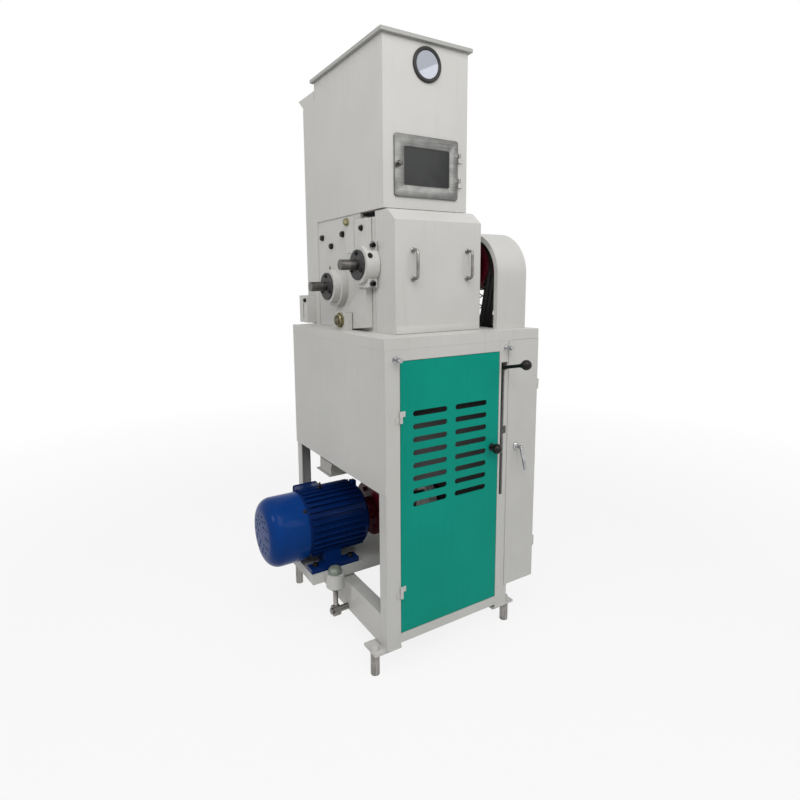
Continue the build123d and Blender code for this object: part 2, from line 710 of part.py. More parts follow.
def lever():
    """Hand lever through the slot, its ball, and the shaft with the eccentric."""
    y1, z1 = LEVER_Y - LEVER_REACH, LEVER_Z + LEVER_LIFT_H
    tilt = LEVER_TILT
    length = hypot(LEVER_LIFT_H, LEVER_REACH)
    flat_l = length * 0.7
    x0, x1 = LEVER_X - LEVER_T / 2, LEVER_X + LEVER_T / 2
    dy, dz = sin(tilt) * LEVER_H / 2, cos(tilt) * LEVER_H / 2

    def along(run):
        return LEVER_Y - run * cos(tilt), LEVER_Z + run * sin(tilt)

    (ya, za), (yb, zb) = along(0), along(flat_l)
    outline = ((ya - dy, za - dz), (ya + dy, za + dz), (yb + dy, zb + dz), (yb - dy, zb - dz))
    hub_x0, hub_x1 = LEVER_X - 8, LEVER_X + 8
    arm = plate_x(outline, x0, x1) + bar_x(hub_x0, hub_x1, LEVER_Y, LEVER_Z, LEVER_HUB_R)
    yr, zr = along(flat_l - 24)
    place = Pos(LEFT + LEVER_X, FRONT + yr, zr) * Rot(90 - degrees(tilt), 0, 0)
    rod_l = length - flat_l + 24 - BALL_R + 4
    arm += place * Cylinder(LEVER_T / 2, 30, align=(Align.CENTER, Align.CENTER, Align.MIN))
    yo, zo = along(flat_l)
    place = Pos(LEFT + LEVER_X, FRONT + yo, zo) * Rot(90 - degrees(tilt), 0, 0)
    arm += place * Cylinder(LEVER_ROD_R, rod_l - 24, align=(Align.CENTER, Align.CENTER, Align.MIN))
    arm -= bar_x(hub_x0, hub_x1, LEVER_Y, LEVER_Z, LEVER_SHAFT_R)
    knob = ball(LEVER_X, y1, z1, BALL_R) - arm
    keep("hand_lever", arm)
    keep("lever_ball", knob)
    shaft = bar_x(ECC_X - 4, FRAME_W, LEVER_Y, LEVER_Z, LEVER_SHAFT_R)
    shaft += bar_x(ECC_X, ECC_X + ECC_T, ECC_Y, ECC_Z, ECC_R)
    keep("lever_shaft", shaft)


def pull_rod():
    """Rod from the eccentric strap up to the pin on the right swing arm."""
    x0, x1 = ECC_X + 2, ARM_R_X - 1
    mid = (x0 + x1) / 2
    strap_r = ECC_R + STRAP_FIT + STRAP_W
    rod = bar_x(x0, x1, ECC_Y, ECC_Z, strap_r) + bar_x(x0, x1, PULL_Y, PIVOT_Z, PULL_EYE_R)
    rod += bar_z(mid, PULL_Y, ECC_Z + ECC_R + 3, PIVOT_Z, PULL_ROD_R)
    rod -= bar_x(x0, x1, ECC_Y, ECC_Z, ECC_R + STRAP_FIT)
    rod -= bar_x(x0, x1, PULL_Y, PIVOT_Z, PULL_PIN_R + RUN)
    keep("pull_rod", rod)


def roll_box():
    """Side plates and back wall round the rolls, and the blocks under the arm pivot."""
    plates = []
    for x0 in (BOX_X, BOX_END - BOX_PLATE):
        x1 = x0 + BOX_PLATE
        plate = block(x0, x1, BOX_Y, BOX_BACK, BASE_TOP, HOPPER_Z)
        reach = SEAT_R + 22
        plate -= bar_x(x0, x1, FRONT_Y, FRONT_Z - 6, reach)
        plate -= block(x0, x1, BOX_Y, FRONT_Y, FRONT_Z - 6 - reach, FRONT_Z - 6 + reach)
        plate -= bar_x(x0, x1, REAR_Y, REAR_Z, BEARING_R + 5)
        plate -= bar_x(x0, x1, PIVOT_Y, PIVOT_Z, PIVOT_R + 4)
        plate -= bar_x(x0, x1, GATE_Y, GATE_Z, GATE_R + RUN)
        if x0 == BOX_X:
            for y, z in CHUTE_BOLTS:
                plate -= bar_x(x0, x1, y, z, CHUTE_BOLT_R + BOLT_FIT)
        strip = x0 - STRIP_T if x0 == BOX_X else x1
        strip_y = ARM_Y + ARM_W + STRIP_GAP
        plate += block(strip, strip + STRIP_T, strip_y, strip_y + STRIP_W, STRIP_LOW, HOPPER_Z - STRIP_DROP)
        plate -= block(x0, x1, BOX_Y, ARM_Y + ARM_W, ARM_TOP + STRIP_GAP, HOPPER_Z)
        plates.append(plate)
    x0, x1 = BOX_X + BOX_PLATE, BOX_END - BOX_PLATE
    back = block(x0, x1, BOX_BACK - BOX_PLATE, BOX_BACK, BASE_TOP, HOPPER_Z)
    back -= duct_window(BOX_BACK - BOX_PLATE, BOX_BACK)
    keep("roll_box_plates", *plates, back)
    blocks = []
    for x0 in (ARM_X - 3 - BLOCK_T, ARM_R_X + ARM_T + 3):
        base = block(x0, x0 + BLOCK_T, PIVOT_Y - BLOCK_W / 2, PIVOT_Y + BLOCK_W / 2,
                     BASE_TOP, BASE_TOP + BLOCK_H)
        blocks.append(base - bar_x(x0, x0 + BLOCK_T, PIVOT_Y, PIVOT_Z, PIVOT_R + RUN))
    keep("pivot_blocks", *blocks)


def duct_window(y0, y1):
    """Opening through which air leaves the roll box."""
    x0 = BOX_X + BOX_PLATE + WINDOW_MARGIN
    x1 = BOX_END - BOX_PLATE - WINDOW_MARGIN
    return block(x0, x1, y0, y1, WINDOW_LOW, WINDOW_HIGH)


def arm_sides():
    """Left and right arm: plate start, housing start and end, cover start."""
    left_housing = ARM_X + ARM_T - HOUSING_L
    yield ARM_X, left_housing, left_housing - COVER_T
    yield ARM_R_X, ARM_R_X, ARM_R_X + HOUSING_L


def swing_arms():
    """Two arms on one pivot shaft, with split bearing housings for the front roll."""
    arms, caps, fasteners, bearings = [], [], [], []
    half_cap = CAP_BOLT + 20
    for x, housing, cover in arm_sides():
        x1, end = x + ARM_T, housing + HOUSING_L
        outline = ((ARM_Y, ARM_LOW), (PIVOT_Y, PIVOT_Z - PIVOT_LUG_R), (PIVOT_Y, PIVOT_Z + PIVOT_LUG_R),
                   (ARM_Y + ARM_W, PIVOT_Z + ARM_SLOPE), (ARM_Y + ARM_W, ARM_TOP), (ARM_Y, ARM_TOP))
        arm = plate_x(outline, x, x1) + bar_x(x, x1, PIVOT_Y, PIVOT_Z, PIVOT_LUG_R)
        arm += bar_x(housing, end, FRONT_Y, FRONT_Z, HOUSING_R)
        arm -= block(housing, end, ARM_Y - 60, FRONT_Y, FRONT_Z - half_cap, FRONT_Z + half_cap)
        arm -= bar_x(x, x1, PIVOT_Y, PIVOT_Z, PIVOT_R)
        cap = bar_x(housing, end, FRONT_Y, FRONT_Z, HOUSING_R)
        lug = x1 - CAP_LUG_W if x == ARM_X else x
        for side in (-1, 1):
            z0, z1 = sorted((FRONT_Z + side * (CAP_BOLT - 18), FRONT_Z + side * half_cap))
            cap += block(lug, lug + CAP_LUG_W, FRONT_Y - CAP_LUG, FRONT_Y, z0, z1)
            arm += block(lug, lug + CAP_LUG_W, FRONT_Y, FRONT_Y + CAP_LUG, z0, z1)
        cap -= block(housing, end, FRONT_Y, FRONT_Y + HOUSING_R, FRONT_Z - half_cap, FRONT_Z + half_cap)
        cap -= bar_x(housing, end, FRONT_Y, FRONT_Z, BEARING_R)
        arm -= bar_x(housing, end, FRONT_Y, FRONT_Z, BEARING_R)
        mid = lug + CAP_LUG_W / 2
        for side in (-1, 1):
            z = FRONT_Z + side * (CAP_BOLT + 8)
            hole = bar_y(mid, FRONT_Y - CAP_LUG, FRONT_Y + 26, z, CHUTE_BOLT_R + BOLT_FIT)
            cap -= hole
            arm -= hole
            head = bar_y(mid, FRONT_Y - CAP_LUG - 10, FRONT_Y - CAP_LUG, z, 8.0)
            head -= hex_y(mid, FRONT_Y - CAP_LUG - 10, FRONT_Y - CAP_LUG - 5, z, 8.0)
            fasteners.append(head + bar_y(mid, FRONT_Y - CAP_LUG, FRONT_Y + 24, z, CHUTE_BOLT_R))
        if x == ARM_R_X:
            arm += bar_x(ECC_X, x, PULL_Y, PIVOT_Z, PULL_PIN_R)
        arms.append(arm)
        caps.append(cap)
        middle = (housing + end) / 2
        ring = bar_x(middle - BEARING_W / 2, middle + BEARING_W / 2, FRONT_Y, FRONT_Z, BEARING_R)
        bearings.append(ring - bar_x(housing, end, FRONT_Y, FRONT_Z, SEAT_R))
        disc = bar_x(cover, cover + COVER_T, FRONT_Y, FRONT_Z, COVER_R)
        bearings.append(disc - bar_x(cover, cover + COVER_T, FRONT_Y, FRONT_Z, SEAT_R + 1))
    left_nut = ARM_X - 3 - BLOCK_T - NUT_H - 1
    right_nut = ARM_R_X + ARM_T + 3 + BLOCK_T + 1
    for x in (left_nut, right_nut):
        nut = hex_x(x, x + NUT_H, PIVOT_Y, PIVOT_Z, 2.6 * PIVOT_R)
        fasteners.append(nut - bar_x(x, x + NUT_H, PIVOT_Y, PIVOT_Z, PIVOT_R))
    keep("swing_arms", *arms)
    keep("bearing_caps", *caps)
    keep("arm_fasteners", *fasteners)
    keep("front_bearings", *bearings)
    keep("arm_pivot_shaft", bar_x(left_nut - 4, right_nut + NUT_H + 4, PIVOT_Y, PIVOT_Z, PIVOT_R))


def rear_bearings():
    """Flanged housings bolted to the side plates, with the rear roll's bearings and covers."""
    housings, bearings = [], []
    left = BOX_X - HOUSING_L
    sides = ((left, BOX_X - FLANGE_T, left - COVER_T), (BOX_END, BOX_END, BOX_END + HOUSING_L))
    for x, flange, cover in sides:
        end = x + HOUSING_L
        body = bar_x(x, end, REAR_Y, REAR_Z, HOUSING_R)
        body += bar_x(flange, flange + FLANGE_T, REAR_Y, REAR_Z, FLANGE_R)
        housings.append(body - bar_x(x, end, REAR_Y, REAR_Z, BEARING_R))
        middle = (x + end) / 2
        ring = bar_x(middle - BEARING_W / 2, middle + BEARING_W / 2, REAR_Y, REAR_Z, BEARING_R)
        bearings.append(ring - bar_x(x, end, REAR_Y, REAR_Z, SEAT_R))
        disc = bar_x(cover, cover + COVER_T, REAR_Y, REAR_Z, COVER_R)
        bearings.append(disc - bar_x(cover, cover + COVER_T, REAR_Y, REAR_Z, SEAT_R + 1))
    keep("rear_housings", *housings)
    keep("rear_bearings", *bearings)


def pulley(y, z, radius, bore):
    """Grooved pulley on the belt line."""
    x0, x1 = BELT_X - PULLEY_W / 2, BELT_X + PULLEY_W / 2
    wheel = bar_x(x0, x1, y, z, radius + PULLEY_PROUD)
    floor = radius - BELT_T / 2 - GROOVE_DROP
    for belt in range(BELT_N):
        mid = BELT_X + (belt - (BELT_N - 1) / 2) * BELT_PITCH
        half = BELT_W / 2 + GROOVE_FIT
        ring = bar_x(mid - half, mid + half, y, z, radius + PULLEY_PROUD + 1)
        wheel -= ring - bar_x(mid - half, mid + half, y, z, floor)
    if floor > bore + 30:
        for a, b in ((x0, x0 + 18), (x1 - 18, x1)):
            wheel -= bar_x(a, b, y, z, floor - 12) - bar_x(a, b, y, z, bore + 12)
    return wheel - bar_x(x0, x1, y, z, bore)


def roll(name, y, z, pulley_r):
    """Roll core with its shaft, the rubber on it, and its pulley."""
    end = ROLL_X + ROLL_L
    core_r = ROLL_R - RUBBER_T
    seat_a, seat_b = BOX_X - HOUSING_L - COVER_T, BELT_X - PULLEY_W / 2
    drum = bar_x(ROLL_X, end, y, z, core_r)
    mid = (ROLL_X + end) / 2
    for a, b in ((ROLL_X, mid - CORE_WEB / 2), (mid + CORE_WEB / 2, end)):
        drum -= bar_x(a, b, y, z, core_r - CORE_RIM)
    drum += bar_x(ROLL_X, end, y, z, AXLE_R + HUB_T)
    drum -= bar_x(ROLL_X, end, y, z, AXLE_R)
    shaft = bar_x(STUB_X, seat_a, y, z, STUB_R)
    shaft += bar_x(seat_a, seat_b, y, z, SEAT_R - RUN / 2)
    shaft += bar_x(BOX_X + BOX_PLATE + 8, BOX_END - BOX_PLATE - 8, y, z, AXLE_R)
    shaft += bar_x(seat_b, SHAFT_END, y, z, END_R)
    keep(name + "_roll_core", drum, shaft)
    rubber = bar_x(ROLL_X, end, y, z, ROLL_R) - bar_x(ROLL_X, end, y, z, core_r)
    keep(name + "_roll_rubber", rubber)
    keep(name + "_roll_pulley", pulley(y, z, pulley_r, END_R))


def tangent(a, b):
    """Touch points of a belt run from wheel a to wheel b, wheels as (y, z, r, turn).

    turn is 1 where the belt goes round anticlockwise seen with y to the right and z up,
    and -1 where it goes round clockwise.
    """
    dy, dz = b[0] - a[0], b[1] - a[1]
    span = hypot(dy, dz)
    swing = asin((a[2] * a[3] - b[2] * b[3]) / span)
    away = atan2(dz, dy) + swing
    side = away - pi / 2
    points = []
    for wheel in (a, b):
        reach = wheel[2] * wheel[3]
        points.append((wheel[0] + reach * cos(side), wheel[1] + reach * sin(side)))
    return points


def drive_belts():
    """Double-sided belts: over the front roll's pulley, under the rear one, round the idler."""
    wheels = ((MOTOR_Y, MOTOR_Z, DRIVE_PULLEY_R, -1), (FRONT_Y, FRONT_Z, FRONT_PULLEY_R, -1),
              (REAR_Y, REAR_Z, REAR_PULLEY_R, 1), (IDLER_Y, IDLER_Z, IDLER_R, -1))
    count = len(wheels)
    runs = [tangent(wheels[i], wheels[(i + 1) % count]) for i in range(count)]
    belts = []
    for belt in range(BELT_N):
        x = LEFT + BELT_X + (belt - (BELT_N - 1) / 2) * BELT_PITCH

        def at(point):
            return Vector(x, FRONT + point[0], point[1])

        edges = []
        for i in range(count):
            wheel = wheels[(i + 1) % count]
            start, stop = runs[i][1], runs[(i + 1) % count][0]
            edges.append(Line(at(runs[i][0]), at(start)))
            first = atan2(start[1] - wheel[1], start[0] - wheel[0])
            last = atan2(stop[1] - wheel[1], stop[0] - wheel[0])
            turn = (last - first) * wheel[3] % (2 * pi)
            half = first + wheel[3] * turn / 2
            middle = (wheel[0] + wheel[2] * cos(half), wheel[1] + wheel[2] * sin(half))
            edges.append(ThreePointArc(at(start), at(middle), at(stop)))
        path = Wire(edges)
        begin = at(runs[0][0])
        along = at(runs[0][1]) - begin
        section = Plane(origin=begin, x_dir=(1, 0, 0), z_dir=along) * Rectangle(BELT_W, BELT_T)
        belts.append(sweep(section, path=path))
    keep("drive_belts", *belts)


def belt_guard():
    """Guard over the upper pulleys: a bent wrapper with rims, and a mesh on its outer side."""
    def shape(inset, x0, x1):
        y0, y1 = GUARD_Y + inset, GUARD_Y + GUARD_D - inset
        top = BASE_TOP + GUARD_H - inset
        box = block(x0, x1, y0, y1, BASE_TOP, top)
        edges = box.edges().filter_by(Axis.X).group_by(Axis.Z)[-1]
        return fillet(edges, GUARD_R - inset)

    end = GUARD_X + GUARD_W
    guard = shape(0, GUARD_X, end) - shape(SHEET, GUARD_X, end)
    for x in (GUARD_X, end - SHEET):
        guard += shape(0, x, x + SHEET) - shape(GUARD_RIM, x, x + SHEET)
    keep("belt_guard", guard)
    mesh = shape(SHEET, end - 2 * SHEET, end - SHEET)
    half_y, half_z = MESH_CELL_H - MESH_BAR, (MESH_CELL_H - MESH_BAR) / 2
    rows = int((GUARD_H - 3 * GUARD_RIM) / MESH_CELL_H)
    columns = int((GUARD_D - 4 * GUARD_RIM) / (2 * MESH_CELL_H))
    centre = GUARD_Y + GUARD_D / 2
    holes = []
    for row in range(2 * rows):
        shift = 0.5 if row % 2 else 0.0
        for column in range(columns):
            y = centre + (column - (columns - 1) / 2 + shift - 0.25) * 2 * MESH_CELL_H
            z = BASE_TOP + 2 * GUARD_RIM + (row + 0.5) * MESH_CELL_H / 2
            diamond = ((y - half_y, z), (y, z - half_z), (y + half_y, z), (y, z + half_z))
            holes.append(plate_x(diamond, end - 2 * SHEET, end - SHEET))
    inner = shape(GUARD_RIM, end - 2 * SHEET, end - SHEET)
    for hole in holes:
        mesh -= hole & inner
    keep("guard_mesh", mesh)


def front_cover():
    """Lift-off cover in front of the rolls, with a bevelled top edge and two bow handles."""
    def shell(x0, x1, inset, low):
        y0 = COVER_Y + inset
        y1 = COVER_Y + COVER_D
        top = COVER_SHOULDER - 0.41 * inset
        points = ((y0, low), (y0, top), (y0 + COVER_BEVEL, top + COVER_BEVEL - 8),
                  (y1, top + COVER_BEVEL - 8), (y1, low))
        return plate_x(points, x0, x1)

    low = BASE_TOP + COVER_GAP
    end = COVER_X + COVER_W
    cover = shell(COVER_X, end, 0, low)
    cover -= shell(COVER_X + SHEET, end - SHEET, SHEET, low)
    back = COVER_Y + COVER_D
    cover -= block(COVER_X, end, back - NOTCH_D, back, FRONT_Z - NOTCH_H, FRONT_Z + NOTCH_H)
    keep("front_cover", cover)
    handles = []
    for offset in HANDLE_X:
        x = COVER_X + offset
        out = COVER_Y - HANDLE_OUT
        bow = bar_z(x, out, HANDLE_Z, HANDLE_Z + HANDLE_L, HANDLE_R)
        for z in (HANDLE_Z, HANDLE_Z + HANDLE_L):
            bow += bar_y(x, out, COVER_Y, z, HANDLE_R) + ball(x, out, z, HANDLE_R)
        handles.append(bow)
    keep("cover_handles", *handles)


def feed_parts():
    """Feed chute in the roll box, the hopper's sloping floor, and the swinging feed gate."""
    x0, x1 = BOX_X + BOX_PLATE, BOX_END - BOX_PLATE
    (yb, zb), (yf, zf) = CHUTE_BACK, CHUTE_FRONT
    chute = plate_x(((yb, zb), (yf, zf), (yf, zf - CHUTE_T), (yb, zb - CHUTE_T)), x0, x1)
    inside = HOPPER_X + SHEET
    far = HOPPER_X + HOPPER_W - SHEET
    front = HOPPER_Y + SHEET
    back = HOPPER_Y + HOPPER_D - SHEET
    low = HOPPER_Z + SHEET
    lips = []
    for wall, rise, edge, lean in ((front, FLOOR_FRONT_H, HOPPER_Y + THROAT_FRONT, 1),
                                   (back, FLOOR_BACK_H, HOPPER_Y + THROAT_BACK, -1)):
        corner = (edge + lean * SHEET, low + SHEET)
        lips.append(((wall, low + rise), (wall, low + rise - FLOOR_T), (edge, low), corner))
    floors = [plate_x(points, inside, far) for points in lips]
    keep("feed_plates", chute, *floors)
    gate = bar_x(BOX_X - 14, BOX_END + 4, GATE_Y, GATE_Z, GATE_R)
    gate += hex_x(BOX_X - 14, BOX_X - 1, GATE_Y, GATE_Z, NUT_AF)
    gate += block(x0 + 2, x1 - 2, GATE_Y - 2, GATE_Y + 2, GATE_Z - GATE_FLAP, GATE_Z)
    keep("feed_gate", gate)


def hopper():
    """Feed hopper with rim, the sight glass and the hinged inspection door."""
    x1, y1, z1 = HOPPER_X + HOPPER_W, HOPPER_Y + HOPPER_D, HOPPER_Z + HOPPER_H
    inside = (HOPPER_X + SHEET, x1 - SHEET, HOPPER_Y + SHEET, y1 - SHEET)
    shell = block(HOPPER_X, x1, HOPPER_Y, y1, HOPPER_Z, z1)
    shell += block(HOPPER_X - RIM_OUT, x1 + RIM_OUT, HOPPER_Y - RIM_OUT, y1 + RIM_OUT, z1 - RIM_OUT, z1)
    shell -= block(*inside, HOPPER_Z + SHEET, z1)
    floor = (HOPPER_X + SEAT_FLANGE, x1 - SEAT_FLANGE, HOPPER_Y + SEAT_FLANGE, y1 - SEAT_FLANGE)
    shell -= block(*floor, HOPPER_Z, HOPPER_Z + SHEET)
    middle = HOPPER_X + HOPPER_W / 2
    shell -= bar_y(middle, HOPPER_Y, HOPPER_Y + SHEET, GLASS_Z, GLASS_R)
    hatch_x1, hatch_z1 = HATCH_X + HATCH_W, HATCH_Z + HATCH_H
    shell -= block(HATCH_X + HATCH_LAP, hatch_x1 - HATCH_LAP, HOPPER_Y, HOPPER_Y + SHEET,
                   HATCH_Z + HATCH_LAP, hatch_z1 - HATCH_LAP)
    keep("hopper_shell", shell)
    ring = bar_y(middle, HOPPER_Y - RING_T, HOPPER_Y, GLASS_Z, RING_R)
    keep("sight_glass_ring", ring - bar_y(middle, HOPPER_Y - RING_T, HOPPER_Y, GLASS_Z, GLASS_R))
    keep("sight_glass", bar_y(middle, HOPPER_Y - RING_T / 2, HOPPER_Y + SHEET, GLASS_Z, GLASS_R))
    door_y = HOPPER_Y - HATCH_T
    hatch = block(HATCH_X, hatch_x1, door_y, HOPPER_Y, HATCH_Z, hatch_z1)
    pane = (HATCH_X + HATCH_RAIL, hatch_x1 - HATCH_RAIL, door_y, HOPPER_Y,
            HATCH_Z + HATCH_RAIL, hatch_z1 - HATCH_RAIL)
    hatch -= block(*pane)
    knob_x, knob_z = HATCH_X + 13, HATCH_Z + HATCH_H / 2 + 3
    hatch -= bar_y(knob_x, door_y, HOPPER_Y, knob_z, SPINDLE_R + RUN)
    pins = []
    for z in HATCH_HINGES:
        fixed, moving = hinge(hatch_x1 + HINGE_OUT, HOPPER_Y - HINGE_OUT, z, HATCH_HINGE_L, -1, 0)
        pins.append(fixed)
        hatch += moving
    keep("inspection_door", hatch)
    window = block(*pane[:2], door_y + 1, HOPPER_Y - 1, *pane[4:])
    keep("inspection_window", window)
    knob = bar_y(knob_x, door_y - 14, HOPPER_Y, knob_z, SPINDLE_R)
    knob += bar_y(knob_x, door_y - 20, door_y - 8, knob_z, 10.0)
    keep("inspection_knob", knob)
    return pins


def rear_duct():
    """Dust duct behind the hopper with a flared mouth, a window to the rolls and a bracket."""
    x0, x1 = HOPPER_X, HOPPER_X + HOPPER_W
    y1 = DUCT_Y + DUCT_D
    duct = block(x0, x1, DUCT_Y, y1, BASE_TOP, DUCT_TOP)
    duct -= block(x0 + SHEET, x1 - SHEET, DUCT_Y + SHEET, y1 - SHEET, BASE_TOP + SHEET, DUCT_TOP)
    duct -= duct_window(DUCT_Y, DUCT_Y + SHEET)
    top = DUCT_TOP + MOUTH_H
    lip = ((y1 - SHEET, DUCT_TOP), (y1, DUCT_TOP), (y1 + MOUTH_OUT, top), (y1 + MOUTH_OUT - SHEET, top))
    duct += plate_x(lip, x0, x1)
    cheek = ((DUCT_Y + SHEET, DUCT_TOP), (y1, DUCT_TOP), (y1 + MOUTH_OUT, top), (DUCT_Y + SHEET, top))
    for x in (x0, x1 - SHEET):
        duct += plate_x(cheek, x, x + SHEET)
    low = BASE_TOP + 5
    box = block(x0 - BRACKET_W, x0, y1 - BRACKET_D, y1, low, low + BRACKET_H)
    box -= block(x0 - BRACKET_W + SHEET, x0, y1 - BRACKET_D + SHEET, y1 - SHEET, low, low + BRACKET_H)
    box -= block(x0 - BRACKET_W, x0 - BRACKET_W + SHEET, y1 - BRACKET_D / 2 - 4, y1 - BRACKET_D / 2 + 4,
                 low + 15, low + BRACKET_H - 30)
    keep("rear_duct", duct + box)


def collecting_hopper():
    """Funnel under the rolls that leads to the discharge spout on the left."""
    x0, x1 = BOX_X + OPENING_INSET, BOX_END - OPENING_INSET
    y0, y1 = COVER_Y + 20, BOX_BACK - 18

    def funnel(inset):
        top_z = BASE_TOP - SHEET
        top = Pos(LEFT + (x0 + x1) / 2, FRONT + (y0 + y1) / 2, top_z)
        mouth = Pos(LEFT + SPOUT_X + SPOUT_W / 2, FRONT + SPOUT_Y + SPOUT_W / 2, SPOUT_Z)
        wide = top * Rectangle(x1 - x0 - 2 * inset, y1 - y0 - 2 * inset)
        narrow = mouth * Rectangle(SPOUT_W - 2 * inset, SPOUT_W - 2 * inset)
        return loft([wide, narrow])

    a, b = SPOUT_X, SPOUT_X + SPOUT_W
    c, d = SPOUT_Y, SPOUT_Y + SPOUT_W
    low = SPOUT_Z - SPOUT_NECK
    shell = funnel(0) + block(a, b, c, d, low, SPOUT_Z)
    lip = SPOUT_FLANGE
    shell += block(a - lip, b + lip, c - lip, d + lip, low - SHEET, low)
    shell -= funnel(SHEET)
    shell -= block(a + SHEET, b - SHEET, c + SHEET, d - SHEET, low - SHEET, SPOUT_Z)
    keep("collecting_hopper", shell)


def motor_frame():
    """Finned motor frame with feet, end shields and terminal box."""
    x0, x1 = FRAME_X, FRAME_X + FRAME_L
    body = bar_x(x0, x1, MOTOR_Y, MOTOR_Z, FRAME_R)
    low = MOTOR_Z + FRAME_R - 4
    fin = block(x0, x1, MOTOR_Y - FIN_T / 2, MOTOR_Y + FIN_T / 2, low, low + 4 + FIN_H)
    axis = Axis((LEFT, FRONT + MOTOR_Y, MOTOR_Z), (1, 0, 0))
    for index in range(FIN_N):
        angle = 360.0 * index / FIN_N
        if abs(angle - 180) > 42 and abs(angle - 280) > 26:
            body += fin.rotate(axis, angle)
    for side in (-1, 1):
        edge = MOTOR_Y + side * (FOOT_HOLE_A / 2 + FOOT_EDGE)
        a, b = sorted((edge, edge - side * FOOT_PAD_W))
        body += block(FOOT_X, FOOT_X + FOOT_PAD_L, a, b, CRADLE_TOP, CRADLE_TOP + FOOT_PAD_T)
        inner = MOTOR_Y + side * 60
        web = ((edge - side * FOOT_PAD_W, CRADLE_TOP), (edge - side * 20, CRADLE_TOP + FOOT_PAD_T),
               (MOTOR_Y + side * 100, MOTOR_Z - 62), (inner, MOTOR_Z - 90), (inner, CRADLE_TOP))
        body += plate_x(web, FOOT_X + FOOT_WEB_IN, FOOT_X + FOOT_PAD_L - FOOT_WEB_IN)
    body -= bar_x(x0, x1, MOTOR_Y, MOTOR_Z, FRAME_R - FRAME_WALL)
    for x, y in foot_holes():
        body -= bar_z(x, y, CRADLE_TOP, CRADLE_TOP + FOOT_PAD_T, BOLT_R - 2 + BOLT_FIT)
    shields = []
    for start, hub in ((x0 - SHIELD_T, x0 - SHIELD_T), (x1, x1 + SHIELD_T)):
        shield = bar_x(start, start + SHIELD_T, MOTOR_Y, MOTOR_Z, FRAME_R)
        if hub > start:
            shield = chamfer(shield.edges().group_by(Axis.X)[-1], 12)
        shields.append(shield - bar_x(start, start + SHIELD_T, MOTOR_Y, MOTOR_Z, MOTOR_SHAFT_R + RUN))
    box_y = MOTOR_Y + FRAME_R + FIN_H
    box = block(x0 + 50, x0 + 150, MOTOR_Y + FRAME_R / 2, box_y + 62, MOTOR_Z - 20, MOTOR_Z + 75)
    box -= bar_x(x0, x1, MOTOR_Y, MOTOR_Z, FRAME_R)
    keep("motor_frame", body, *shields, box)


def foot_holes():
    """Motor foot bolts as (x, y)."""
    for x in (FOOT_NEAR, FOOT_NEAR - FOOT_HOLE_B):
        for side in (-1, 1):
            yield x, MOTOR_Y + side * FOOT_HOLE_A / 2


def motor_fittings():
    """Fan cowl, foot bolts and lifting eye."""
    cowl = bar_x(COWL_END, COWL_END + COWL_L, MOTOR_Y, MOTOR_Z, COWL_R)
    cowl = fillet(cowl.edges().group_by(Axis.X)[0], 26)
    hollow = bar_x(COWL_END + SHEET, COWL_END + COWL_L, MOTOR_Y, MOTOR_Z, COWL_R - SHEET)
    cowl -= fillet(hollow.edges().group_by(Axis.X)[0], 24)
    for ring in range(4):
        radius = 38 + 14 * ring
        for step in range(6 + 3 * ring):
            angle = 2 * pi * step / (6 + 3 * ring)
            y, z = MOTOR_Y + radius * cos(angle), MOTOR_Z + radius * sin(angle)
            cowl -= bar_x(COWL_END - 1, COWL_END + SHEET + 1, y, z, 5.0)
    rim = FRAME_X - SHIELD_T
    cowl += (bar_x(rim, COWL_END + COWL_L, MOTOR_Y, MOTOR_Z, COWL_R - SHEET / 2)
             - bar_x(rim, COWL_END + COWL_L, MOTOR_Y, MOTOR_Z, FRAME_R))
    keep("fan_cowl", cowl)
    bolts = []
    shank = BOLT_R - 2
    top = CRADLE_TOP + FOOT_PAD_T
    for x, y in foot_holes():
        bolt = hex_z(x, y, top, top + 8, 2.3 * shank + 4)
        bolts.append(bolt + bar_z(x, y, CRADLE_TOP - CRADLE_T - 12, top, shank))
    eye_x = FRAME_X + EYE_X
    eye_z = MOTOR_Z + FRAME_R + FIN_H
    eye = Pos(LEFT + eye_x, FRONT + MOTOR_Y, eye_z + 30) * Rot(0, 90, 0) * Torus(16, 5)
    eye += bar_z(eye_x, MOTOR_Y, eye_z, eye_z + 16, 9.0)
    bolts.append(eye)
    keep("motor_fasteners", *bolts)


